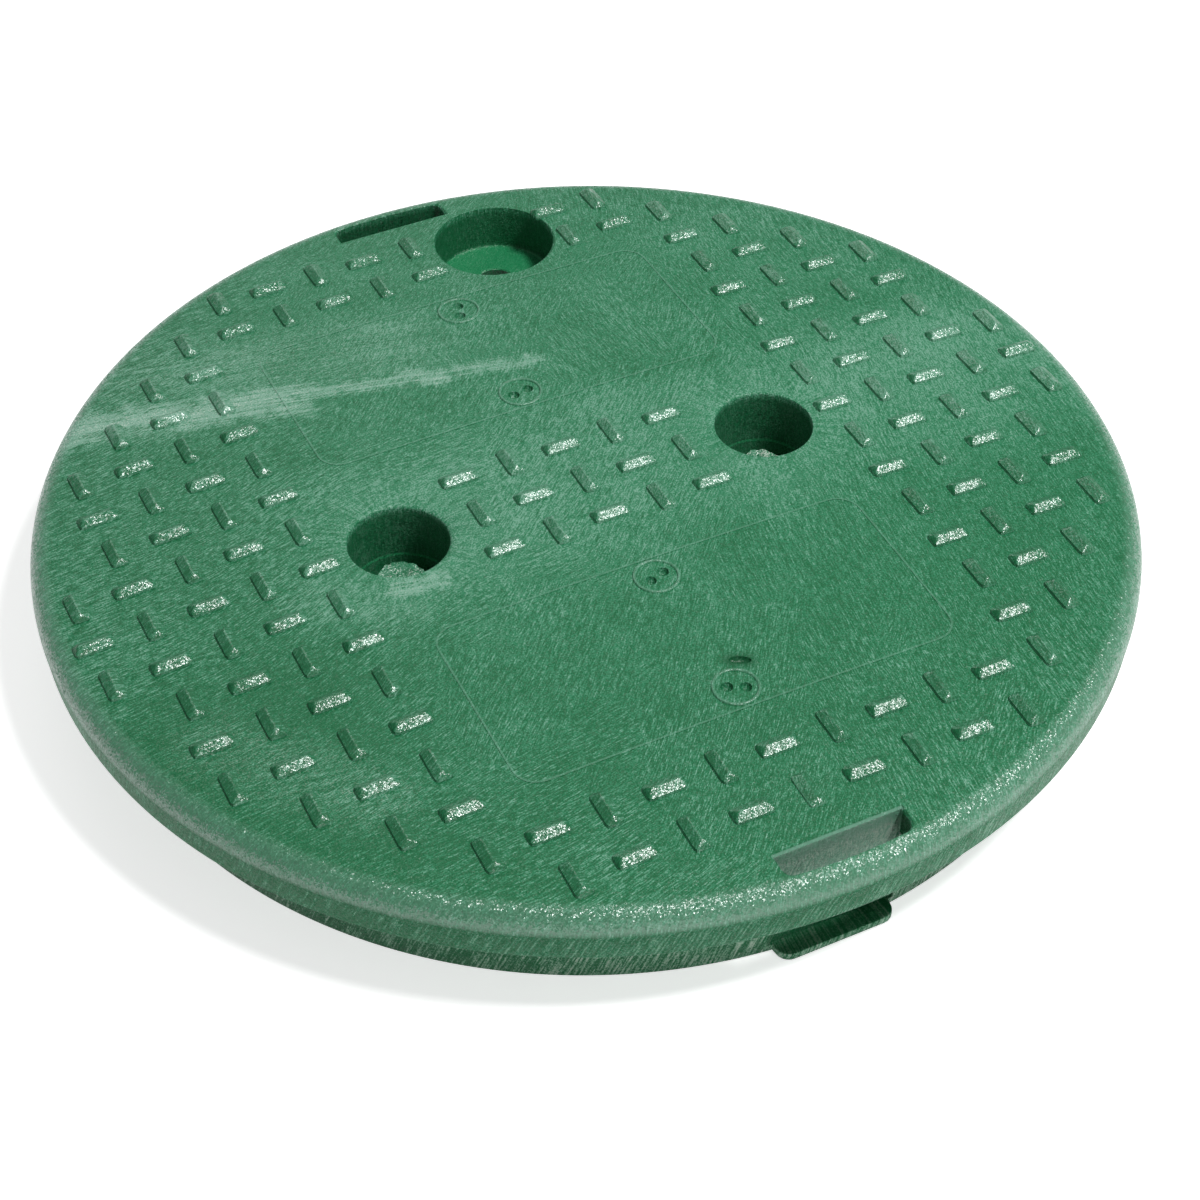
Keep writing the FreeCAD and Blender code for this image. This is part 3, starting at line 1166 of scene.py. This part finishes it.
@dataclass(frozen=True)
class Scuff:
    """A rubbed stretch of the top, from one place of the plan to another."""

    start: Span
    end: Span
    width: float
    strength: float

    def mask(self, g: Graph, x: Value, y: Value) -> Socket:
        """Work out how strongly the stretch is rubbed at a point of the plan.

        Args:
            g: Graph of the finish.
            x: Place along X.
            y: Place along Y.

        Returns:
            The strength on the middle line, falling to 0 at the edges.
        """
        run = Vector(self.end) - Vector(self.start)
        along = run.normalized()
        dx = g.math("SUBTRACT", x, self.start[0])
        dy = g.math("SUBTRACT", y, self.start[1])
        forth = g.math("MULTIPLY_ADD", dx, along.x, g.math("MULTIPLY", dy, along.y))
        beyond = g.most(g.math("SUBTRACT", forth, run.length), g.math("MULTIPLY", forth, -1), 0)
        aside = g.math("MULTIPLY_ADD", dy, along.x, g.math("MULTIPLY", dx, -along.y))
        return g.times(g.ramp(g.length(beyond, aside), self.width, 0), self.strength)


@dataclass(frozen=True)
class Spot:
    """Where a point of the finish lies, in millimetres."""

    place: Socket
    x: Socket
    y: Socket
    z: Socket
    radius: Socket
    height: Socket
    gate_x: Socket
    to_gate: Socket
    to_bolt: Socket


@dataclass(frozen=True)
class Zones:
    """Masks of the regions of the cover that the finish tells apart."""

    bar: Socket
    line: Socket
    shaded_flank: Socket
    brow: Socket
    side: Socket
    skirt: Socket
    stub: Socket
    slot_wall: Socket
    slot: Socket
    hollow: Socket
    floor: Socket


@dataclass(frozen=True)
class Grit:
    """The uneven patterns in the plastic, which are about 0.5, and how strongly it is rubbed."""

    streak: Socket
    cloud: Socket
    grain: Socket
    speck: Socket
    shaken: Socket
    rubbed: Socket


@dataclass(frozen=True)
class FoamPlastic:
    """Green structural foam with fine pale flow streaks, sparkling where it is rubbed; its colour also holds
    painted glints, highlights, sheen, shade and light.
    """

    crown: Crown
    well: GateWell
    recess: BoltRecess

    # Colours, from the painted shade of the hollows to the chalk of the painted glints, the painted light in
    # the front slot and the torn sprues.
    shade: Colour = (0.004, 0.090, 0.030, 1)
    deep: Colour = (0.008, 0.135, 0.048, 1)
    # Lit green of the hollows' floors, which they take in place of the painted shade.
    lit_floor_green: Colour = (0.014, 0.240, 0.088, 1)
    green: Colour = (0.030, 0.220, 0.104, 1)
    pale: Colour = (0.170, 0.390, 0.272, 1)
    # Pale colour of the side band, partly painted sheen.
    ash: Colour = (0.175, 0.390, 0.245, 1)
    chalk: Colour = (0.640, 0.730, 0.640, 1)

    # Edges of the zones in millimetres, from where a mask is 0 to where it is 1.
    bar_height: Span = (0.06, 0.5)
    line_low: Span = (0.04, 0.12)
    line_high: Span = (0.5, 0.3)
    brow_radius: Span = (118.5, 121.5)
    brow_foot: Span = (23.6, 25.5)
    side_radius: Span = (112.0, 114.0)
    side_top: Span = (24.4, 23.4)
    skirt_top: Span = (17.4, 16.8)
    stub_edge: float = 0.6
    stub_foot: Span = (9.5, 11.0)
    slot_ends: Span = (14.9, 14.5)
    slot_back: Span = (112.6, 112.9)
    slot_front: Span = (119.7, 119.4)
    slot_foot: Span = (1.7, 1.95)
    # Inner wall of the front slot, which takes painted light:
    wall_front: Span = (-113.7, -113.3)
    wall_back: Span = (-112.1, -112.5)
    wall_top: Span = (-0.05, -0.3)
    wall_foot: Span = (8.0, 12.0)
    wall_worn: Span = (-1.2, -0.6)
    lit_wall_depth: Span = (-1.5, -5.0)
    hollow_depth: Span = (-0.6, -2.2)
    hollow_radius: Span = (113.6, 112.8)
    well_edge: Span = (12.6, 12.2)
    well_foot: Span = (10.2, 11.2)
    recess_edge: Span = (16.2, 15.8)
    recess_foot: Span = (14.2, 15.2)
    plate_foot: Span = (24.1, 24.8)
    floor_edge: Span = (0.5, 0.2)

    # Noises as scale, detail and roughness, and how their patterns lie.
    even_noise: Triple = (1.0, 2.0, 0.6)
    sway_noise: Triple = (0.014, 0.0, 0.5)
    stray_noise: Triple = (0.03, 1.0, 0.5)
    cloud_noise: Triple = (0.05, 2.0, 0.6)
    grain_noise: Triple = (2.6, 1.0, 0.5)
    speck_noise: Triple = (3.0, 0.0, 0.5)
    shaken_noise: Triple = (0.16, 2.0, 0.5)
    rub_noise: Triple = (1.0, 1.0, 0.6)
    cell_scale: float = 3.2
    sway: Triple = (16.0, 16.0, 0.0)
    flow_turns: Triple = (14.0, 46.0, 82.0)
    flow_scale: Triple = (0.45, 3.6, 0.4)
    flow_stray: float = 160.0
    flow_left: Span = (-38.0, -26.0)
    flow_right: Span = (26.0, 38.0)
    fan_scale: Triple = (30.0, 0.16, 0.3)
    fan_reach: Span = (28.0, 13.0)
    fan_share: float = 0.5
    comb_turn: float = 24.0
    comb_scale: Triple = (1.9, 0.16, 1.0)

    # Rubbed stretches of the top, and painted shade in and round the dent.
    scuffs: tuple[Scuff, ...] = (
        Scuff((-100.0, 72.0), (-48.0, 58.0), 9.0, 0.85),
        Scuff((-52.0, 59.5), (-14.0, 50.0), 4.0, 0.85),
        Scuff((-24.0, 52.5), (8.0, 45.0), 3.5, 0.50),
        Scuff((-84.0, 84.0), (-20.0, 66.0), 20.0, 0.22),
        Scuff((-100.0, -40.0), (-78.0, -66.0), 14.0, 0.28),
        Scuff((-70.0, -8.0), (-52.0, -22.0), 10.0, 0.12),
        Scuff((-52.0, -14.0), (-42.0, -15.5), 4.0, 0.50),
    )
    dent_shade: Scuff = Scuff((2.9, -64.1), (5.7, -65.5), 3.4, 1.0)
    scuff_shake: float = 14.0
    rub_turn: float = 14.0
    rub_scale: Triple = (0.05, 1.5, 0.5)
    rub_edge: Span = (0.35, 0.65)
    rub_share: Span = (0.8, 0.45)
    rub_depth: Span = (-1.5, -0.6)

    # Tone: its middle, its contrast, and what the patterns and places add to it, with painted sheen towards
    # the back and across the middle.
    tone_middle: float = 0.35
    contrast: Span = (0.9, 1.6)
    outer_left: Span = (-30.0, -80.0)
    outer_front: Span = (-50.0, -85.0)
    outer_tone: float = -0.05
    grain_tone: float = 1.2
    cloud_tone: float = 0.35
    back_rise: Span = (-55.0, 15.0)
    back_sheen_tone: float = 0.09
    belt: Span = (36.0, 12.0)
    belt_sheen_tone: float = 0.16
    far_left: Span = (-50.0, -90.0)
    far_front: Span = (40.0, 10.0)
    far_tone: float = -0.18
    rubbed_tone: float = 0.8

    # Values between which one colour takes over from another, and how far it does.
    green_tone: Span = (0.12, 0.50)
    pale_tone: Span = (0.46, 0.90)
    ridge_highlight_share: float = 0.3
    side_tone: Span = (0.38, 1.0)
    skirt_tone: Span = (0.10, 0.55)
    white_tone: Span = (0.40, 0.90)
    white_share: float = 0.6
    # Pale specks that are painted glints, and how many there are on even and on rubbed plastic:
    glint_speck: Span = (0.56, 0.70)
    glint_speck_share: Span = (0.45, 0.04)
    # Painted shade on the bars' left flanks, from how far their normal leans towards -X.
    shaded_flank_lean: Span = (-0.35, -0.65)
    shaded_flank_share: float = 0.6
    hollow_shade_share: float = 0.75
    lit_wall_share: float = 0.8
    wall_tone: Span = (0.0, 0.7)
    lit_wall_chalk_share: float = 0.4
    torn: Span = (0.98, 1.22)
    torn_share: float = 0.8

    # Surface, with pairs for even and for worn plastic.
    streak_relief: float = 0.35
    speck_relief: float = 0.6
    bump_strength: float = 0.6
    bump_distance: float = 0.00016
    roughness: Span = (0.40, 0.29)
    lean: Span = (0.45, 0.36)
    brow_lean: float = 0.60
    shine: Span = (0.35, 1.0)
    side_shine: float = 0.12
    ior: float = 1.5

    @cached_property
    def graph(self) -> Graph:
        """Return the finish's node tree, which is started once."""
        return Graph("foam_plastic")

    @cached_property
    def spot(self) -> Spot:
        """Find where a point of the finish lies, from its object coordinates.

        Returns:
            The place, and its distances from what the zones are measured from.
        """
        g = self.graph
        place = g.turned(g.node("TexCoord").outputs["Object"], 0, (1 / MM, 1 / MM, 1 / MM))
        x, y, z = g.parts(place)
        square = g.math("MULTIPLY_ADD", x, x, g.math("MULTIPLY", y, y))
        fall = g.math("DIVIDE", square, 2 * self.crown.radius)
        gate_x = g.math("SUBTRACT", g.math("ABSOLUTE", x), GATE_MIDDLE)
        bolt_x = g.math("SUBTRACT", x, self.recess.x)
        bolt_y = g.math("SUBTRACT", y, self.recess.y)
        return Spot(
            place, x, y, z,
            radius=g.math("SQRT", square),
            height=g.math("SUBTRACT", g.math("ADD", z, fall), self.crown.height),
            gate_x=gate_x,
            to_gate=g.length(gate_x, y),
            to_bolt=g.length(bolt_x, bolt_y),
        )

    @cached_property
    def zones(self) -> Zones:
        """Mask the regions of the cover.

        Returns:
            The masks, from 0 to 1.
        """
        g = self.graph
        spot = self.spot
        z = spot.z
        bar = g.ramp(spot.height, *self.bar_height)
        facing, _, _ = g.parts(g.node("TexCoord").outputs["Normal"])
        side = g.times(g.ramp(spot.radius, *self.side_radius), g.ramp(z, *self.side_top))
        stub = g.ramp(spot.to_gate, self.well.stub_radius + self.stub_edge, self.well.stub_radius)
        stub = g.times(stub, g.ramp(z, *self.stub_foot))
        deep = g.ramp(spot.height, *self.hollow_depth)
        between = g.ramp(g.math("ABSOLUTE", spot.x), *self.slot_ends)
        slot_wall = g.times(
            g.ramp(spot.y, *self.wall_front), g.ramp(spot.y, *self.wall_back), between,
            g.ramp(spot.height, *self.wall_top), g.ramp(z, *self.wall_foot),
        )
        slot = g.times(
            between, g.ramp(g.math("ABSOLUTE", spot.y), *self.slot_back), g.outside(slot_wall),
            g.ramp(spot.radius, *self.slot_front), g.ramp(z, *self.slot_foot), deep,
        )
        open_above = g.most(
            g.times(g.ramp(spot.to_gate, *self.well_edge), g.ramp(z, *self.well_foot)),
            g.times(g.ramp(spot.to_bolt, *self.recess_edge), g.ramp(z, *self.recess_foot)),
            g.ramp(z, *self.plate_foot),
        )
        # painted shade: walls of the wells and the recess, and the slots down to the tab top under the rim
        hollow = g.times(deep, g.ramp(spot.radius, *self.hollow_radius), g.outside(stub), open_above)
        floors = [
            g.ramp(g.math("ABSOLUTE", g.math("SUBTRACT", z, pocket.floor)), *self.floor_edge)
            for pocket in (self.well, self.recess)
        ]
        return Zones(
            bar=bar,
            line=g.times(g.ramp(spot.height, *self.line_low), g.ramp(spot.height, *self.line_high)),
            # painted shade: bar faces that lean towards -X are darkened and given less specular
            shaded_flank=g.times(bar, g.ramp(facing, *self.shaded_flank_lean)),
            brow=g.times(g.ramp(spot.radius, *self.brow_radius), g.ramp(z, *self.brow_foot)),
            side=side,
            skirt=g.times(side, g.ramp(z, *self.skirt_top)),
            stub=stub,
            slot_wall=slot_wall,
            slot=slot,
            hollow=g.most(hollow, slot),
            floor=g.most(*floors),
        )

    def streaks(self) -> Socket:
        """Lay the flow streaks of the top, which turn from left to right and fan out at the gates.

        Returns:
            Streaks about 0.5.
        """
        g = self.graph
        spot = self.spot
        swayed = g.noise(spot.place, *self.sway_noise, output="Color")
        flow = g.arrow("MULTIPLY_ADD", swayed, self.sway, spot.place)
        left, middle, right = [
            g.noise(g.turned(flow, -turn, self.flow_scale), *self.even_noise) for turn in self.flow_turns
        ]
        stray = g.math("SUBTRACT", g.noise(spot.place, *self.stray_noise), 0.5)
        side = g.math("MULTIPLY_ADD", stray, self.flow_stray, spot.x)
        streak = g.blend(g.ramp(side, *self.flow_left), left, middle)
        streak = g.blend(g.ramp(side, *self.flow_right), streak, right)

        spread = (g.math("ARCTAN2", spot.y, spot.gate_x), spot.to_gate, spot.z)
        fan = g.vector(*[g.times(part, scale) for part, scale in zip(spread, self.fan_scale)])
        share = g.times(g.ramp(spot.to_gate, *self.fan_reach), self.fan_share)
        return g.blend(share, streak, g.noise(fan, *self.even_noise))

    def rubbing(self, shaken: Socket) -> Socket:
        """Work out how strongly the top is rubbed.

        Args:
            shaken: Pattern that makes the edges of the scuffs uneven.

        Returns:
            The strength of the rubbing.
        """
        g = self.graph
        spot = self.spot
        shake = g.times(g.math("SUBTRACT", shaken, 0.5), self.scuff_shake)
        x = g.math("ADD", spot.x, shake)
        y = g.math("SUBTRACT", spot.y, shake)
        strongest = g.most(*[scuff.mask(g, x, y) for scuff in self.scuffs])
        combing = g.noise(g.turned(spot.place, self.rub_turn, self.rub_scale), *self.rub_noise)
        combed = g.math("MULTIPLY_ADD", g.ramp(combing, *self.rub_edge), *self.rub_share)
        return g.times(strongest, combed, g.ramp(spot.height, *self.rub_depth))

    @cached_property
    def grit(self) -> Grit:
        """Lay the uneven patterns in the plastic.

        Returns:
            The patterns.
        """
        g = self.graph
        spot = self.spot
        around = g.times(g.math("ARCTAN2", spot.y, spot.x), self.crown.rim_radius)
        combed = g.turned(g.vector(around, spot.z), self.comb_turn, self.comb_scale)
        shaken = g.noise(spot.place, *self.shaken_noise)
        return Grit(
            streak=g.blend(self.zones.side, self.streaks(), g.noise(combed, *self.even_noise)),
            cloud=g.noise(spot.place, *self.cloud_noise),
            grain=g.noise(spot.place, *self.grain_noise),
            speck=g.noise(spot.place, *self.speck_noise),
            shaken=shaken,
            rubbed=self.rubbing(shaken),
        )

    @cached_property
    def tone(self) -> Socket:
        """Work out how pale the plastic is, with painted sheen added towards the back and across the middle.

        Returns:
            The tone, from about 0 for deep green to about 1 for pale green.
        """
        g = self.graph
        spot = self.spot
        grit = self.grit
        outer = g.most(g.ramp(spot.x, *self.outer_left), g.ramp(spot.y, *self.outer_front))
        contrast = g.math("MULTIPLY_ADD", outer, *self.contrast)
        tone = g.math("MULTIPLY_ADD", g.math("SUBTRACT", grit.streak, 0.5), contrast, self.tone_middle)
        parts = (
            (outer, self.outer_tone),
            (g.math("SUBTRACT", grit.grain, 0.5), self.grain_tone),
            (g.math("SUBTRACT", grit.cloud, 0.5), self.cloud_tone),
            # painted sheen: paler towards the back and across the middle
            (g.ramp(spot.y, *self.back_rise), self.back_sheen_tone),
            (g.ramp(g.math("ABSOLUTE", spot.y), *self.belt), self.belt_sheen_tone),
            (g.times(g.ramp(spot.x, *self.far_left), g.ramp(spot.y, *self.far_front)), self.far_tone),
            (grit.rubbed, self.rubbed_tone),
        )
        for part, share in parts:
            tone = g.math("MULTIPLY_ADD", part, share, tone)
        return tone

    def streaks_and_painted_light(self) -> list[Layer]:
        """Make the layers of colour of the flow streaks, with a painted highlight on thin ridges and the
        brow, and a paler side band that is partly painted sheen.

        Returns:
            Shares and colours, in the order in which they are laid.
        """
        g = self.graph
        zones = self.zones
        tone = self.tone
        side_pale_and_sheen = g.most(g.ramp(tone, *self.side_tone), g.times(zones.skirt, g.ramp(tone, *self.skirt_tone)))
        white = g.times(zones.skirt, g.ramp(tone, *self.white_tone), self.white_share)
        return [
            (g.ramp(tone, *self.green_tone), self.green),
            (g.ramp(tone, *self.pale_tone), self.pale),
            # painted highlight on thin ridges and on the brow, where the brow is also worn paler
            (g.times(g.most(zones.line, zones.brow), self.ridge_highlight_share), self.pale),
            # paler side band: pale streaky plastic, partly painted sheen
            (g.times(zones.side, side_pale_and_sheen), self.ash),
            (white, self.chalk),
        ]

    def glints_and_shade(self) -> list[Layer]:
        """Make the layers of painted glints on the top and of painted shade on the bars' left flanks and in
        the dent.

        Returns:
            Shares and colours, in the order in which they are laid.
        """
        g = self.graph
        glint_density = g.math("MULTIPLY_ADD", self.grit.rubbed, *self.glint_speck_share)
        return [
            # painted glints: pale specks, more of them on the rubbed stretches
            (g.times(g.ramp(self.grit.speck, *self.glint_speck), glint_density), self.chalk),
            # painted shade on the bars' left flanks
            (g.times(self.zones.shaded_flank, self.shaded_flank_share), self.deep),
            # painted shade in and round the dent
            (self.dent_shade.mask(g, self.spot.x, self.spot.y), self.shade),
        ]

    def sunk(self) -> list[Layer]:
        """Make the layers of colour inside the wells, the recess and the slots: painted shade on the walls
        and on the tab under each slot, a lit green on the floors, painted light on the front slot's inner
        wall, and pale flecks on the torn sprues.

        Returns:
            Shares and colours, in the order in which they are laid.
        """
        g = self.graph
        zones = self.zones
        grit = self.grit
        inside = g.mix(g.math("SUBTRACT", zones.floor, zones.slot), self.shade, self.lit_floor_green)
        # painted light: the front slot's inner wall is paler lower down
        lit_lower_wall = g.times(g.ramp(self.spot.height, *self.lit_wall_depth), g.ramp(self.tone, *self.wall_tone))
        torn = g.times(zones.stub, g.ramp(g.math("ADD", grit.grain, grit.shaken), *self.torn))
        return [
            # painted shade on the walls of the hollows, lit green on their floors
            (g.times(zones.hollow, self.hollow_shade_share), inside),
            # painted light on the front slot's inner wall
            (g.times(zones.slot_wall, self.lit_wall_share), self.pale),
            (g.times(zones.slot_wall, lit_lower_wall, self.lit_wall_chalk_share), self.chalk),
            (g.times(torn, self.torn_share), self.chalk),
        ]

    def grains(self, normal: Socket, lean: Socket) -> Socket:
        """Break the surface up into small grains, each of which leans its own way.

        Args:
            normal: Normal of the even surface.
            lean: How far the grains lean.

        Returns:
            The normal of the grain at the place.
        """
        g = self.graph
        cell = g.node("TexVoronoi")
        g.feed(cell.inputs["Vector"], self.spot.place)
        cell.inputs["Scale"].default_value = self.cell_scale
        stray = g.arrow("SUBTRACT", cell.outputs["Color"], (0.5, 0.5, 0.5))
        return g.arrow("NORMALIZE", g.arrow("ADD", normal, g.arrow("SCALE", stray, lean)))

    def material(self) -> bpy.types.Material:
        """Put the layers of colour and the surface together.

        Returns:
            The finish as a material.
        """
        g = self.graph
        zones = self.zones
        grit = self.grit
        colour = self.deep
        for share, paint in self.streaks_and_painted_light() + self.glints_and_shade() + self.sunk():
            colour = g.mix(share, colour, paint)

        worn_wall = g.times(zones.slot_wall, g.ramp(self.spot.height, *self.wall_worn))
        worn = g.most(zones.bar, zones.stub, zones.brow, grit.rubbed, worn_wall)
        lean = g.blend(zones.brow, g.blend(worn, *self.lean), self.brow_lean)
        shine = g.blend(g.math("SUBTRACT", worn, zones.shaded_flank), *self.shine)
        specks = g.times(grit.speck, self.speck_relief)
        relief = g.math("MULTIPLY_ADD", grit.streak, self.streak_relief, specks)
        bump = g.node("Bump")
        bump.inputs["Strength"].default_value = self.bump_strength
        bump.inputs["Distance"].default_value = self.bump_distance
        g.feed(bump.inputs["Height"], relief)
        shader = g.node("BsdfPrincipled")
        g.feed(shader.inputs["Base Color"], colour)
        g.feed(shader.inputs["Roughness"], g.blend(worn, *self.roughness))
        g.feed(shader.inputs["Normal"], self.grains(bump.outputs["Normal"], lean))
        shader.inputs["IOR"].default_value = self.ior
        g.feed(shader.inputs["Specular IOR Level"], g.blend(zones.side, shine, self.side_shine))
        g.surface(shader)
        return g.material


@dataclass
class Cover:
    """The whole moulding, from the turned shell to its finish."""

    shell: Shell
    stiffening: Stiffening
    wells: list[GateWell]
    recess: BoltRecess
    latches: list[Latch]
    tread: Tread
    witness: Witness
    crease: float = math.radians(38)

    def build(self) -> bpy.types.Object:
        """Work all the features into the shell.

        Returns:
            The finished piece, without its finish.
        """
        body = self.shell.build()
        pockets = [*self.wells, self.recess]
        solid = [pocket.boss(self.stiffening.top) for pocket in pockets]
        solid += [latch.tab() for latch in self.latches]
        work_in(body, self.stiffening.shapes(), Operation.ADD)
        work_in(body, solid, Operation.ADD)
        hollow = [part.cutter() for part in (*pockets, *self.latches)]
        work_in(body, hollow, Operation.CUT)
        work_in(body, [well.stub() for well in self.wells], Operation.ADD)
        work_in(body, self.tread.shapes(), Operation.ADD)
        work_in(body, self.witness.rings() + self.witness.joints(), Operation.ADD)
        work_in(body, self.witness.pits(), Operation.CUT)
        return body

    def dress(self, body: bpy.types.Object, finish: FoamPlastic) -> None:
        """Smooth the piece, give it its finish and put it in the frame.

        Args:
            body: The finished piece.
            finish: The finish it takes.
        """
        body.data.shade_smooth()
        body.data.set_sharp_from_angle(angle=self.crease)
        body.data.materials.clear()
        body.data.materials.append(finish.material())
        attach(body, BODY)
        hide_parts(NODE)


@dataclass(frozen=True)
class Lamp:
    """A studio lamp that points at the cover."""

    name: str
    place: Triple
    power: float
    size: float

    def build(self) -> bpy.types.Object:
        """Hang the lamp.

        Returns:
            The lamp, linked to the scene.
        """
        data = bpy.data.lights.new(self.name, "AREA")
        data.shape = "DISK"
        data.size = self.size
        data.energy = self.power
        lamp = bpy.data.objects.new(self.name, data)
        lamp.location = self.place
        lamp.rotation_euler = (-Vector(self.place)).to_track_quat("-Z", "Y").to_euler()
        bpy.context.scene.collection.objects.link(lamp)
        return lamp


@dataclass(frozen=True)
class Studio:
    """White floor, soft light and the camera at the photograph's angle."""

    lamps: tuple[Lamp, ...] = (
        Lamp("key", (0.47, -0.45, 1.35), 17.5, 0.30),
        Lamp("back", (0.2, 1.38, 1.1), 3.5, 1.0),
        Lamp("front", (-0.3, -1.4, 0.12), 2.8, 0.8),
    )
    floor_half: float = 4000.0
    floor_white: Colour = (0.82, 0.82, 0.82, 1)
    floor_glow: float = 0.66
    sky_light: float = 0.22
    sky_seen: float = 1.0
    camera_place: Triple = (-0.17602, -0.37397, 0.38771)
    camera_aim: Triple = (-0.00891, -0.02551, 0.02)
    camera_roll: float = -0.3955
    lens: float = 73.07
    sensor: float = 36.0
    nearest: float = 0.01

    def build(self) -> None:
        """Set up the floor, the world, the lamps and the camera."""
        scene = bpy.context.scene
        scene.view_settings.view_transform = "Standard"
        self.floor()
        self.world(scene)
        for lamp in self.lamps:
            lamp.build()
        self.camera(scene)

    def floor(self) -> None:
        """Lay the white floor."""
        bm = bmesh.new()
        bmesh.ops.create_grid(bm, x_segments=1, y_segments=1, size=self.floor_half)
        floor = to_object(bm, "floor")
        g = Graph("white_floor")
        paper = g.node("BsdfDiffuse")
        paper.inputs["Color"].default_value = self.floor_white
        glow = g.node("Emission")
        seen = g.node("LightPath")
        direct = g.most(seen.outputs["Is Camera Ray"], seen.outputs["Is Glossy Ray"])
        g.feed(glow.inputs["Strength"], g.times(direct, self.floor_glow))
        both = g.node("AddShader")
        g.feed(both.inputs[0], paper.outputs[0])
        g.feed(both.inputs[1], glow.outputs[0])
        g.surface(both)
        floor.data.materials.append(g.material)

    def world(self, scene: bpy.types.Scene) -> None:
        """Light the scene evenly from all round, white where the camera sees it.

        Args:
            scene: The scene that takes the world.
        """
        world = bpy.data.worlds.new("studio")
        scene.world = world
        world.use_nodes = True
        tree = world.node_tree
        background = tree.nodes["Background"]
        path = tree.nodes.new("ShaderNodeLightPath")
        strength = tree.nodes.new("ShaderNodeMapRange")
        strength.inputs["To Min"].default_value = self.sky_light
        strength.inputs["To Max"].default_value = self.sky_seen
        tree.links.new(path.outputs["Is Camera Ray"], strength.inputs["Value"])
        tree.links.new(strength.outputs["Result"], background.inputs["Strength"])
        background.inputs["Color"].default_value = (1, 1, 1, 1)

    def camera(self, scene: bpy.types.Scene) -> None:
        """Stand the camera where the photograph was taken.

        Args:
            scene: The scene that takes the camera.
        """
        data = bpy.data.cameras.new("camera")
        data.lens = self.lens
        data.sensor_width = self.sensor
        data.clip_start = self.nearest
        camera = bpy.data.objects.new("camera", data)
        place = Vector(self.camera_place)
        aim = (Vector(self.camera_aim) - place).to_track_quat("-Z", "Y").to_matrix().to_4x4()
        roll = Matrix.Rotation(math.radians(self.camera_roll), 4, "Z")
        camera.matrix_world = Matrix.Translation(place) @ aim @ roll
        scene.collection.objects.link(camera)
        scene.camera = camera


def main() -> None:
    """Build the cover and its studio."""
    logging.basicConfig(level=logging.INFO, format="%(name)s %(message)s")
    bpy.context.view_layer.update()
    low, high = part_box(NODE)
    bolt = next(mount for mount in frame["record"]["mounts"] if mount["name"] == "bolt_hole")
    bolt_x, bolt_y = [part / MM for part in bolt["pos_m"][:2]]
    crown = Crown(rim_radius=(high.x - low.x) / 2 / MM)
    shell = Shell(crown)
    panels = Panels()
    left_well = GateWell(crown=crown, x=-GATE_MIDDLE, stub_length=8.5, seed=4.0)
    right_well = GateWell(crown=crown, x=GATE_MIDDLE, stub_length=7.15, seed=9.0, whisker=True)
    recess = BoltRecess(crown=crown, x=bolt_x, y=bolt_y, hole_radius=bolt["dims"]["r_mm"])
    front = Latch(shell, -1)
    cover = Cover(
        shell=shell,
        stiffening=Stiffening(shell, math.atan2(recess.y, recess.x)),
        wells=[left_well, right_well],
        recess=recess,
        latches=[front, Latch(shell, 1)],
        tread=Tread(crown, panels, left_well, recess, front),
        witness=Witness(crown, panels),
    )
    body = cover.build()
    cover.dress(body, FoamPlastic(crown, left_well, recess))
    Studio().build()
    log.info("%s done: %d faces", body.name, len(body.data.polygons))


if __name__ == "__main__":
    main()
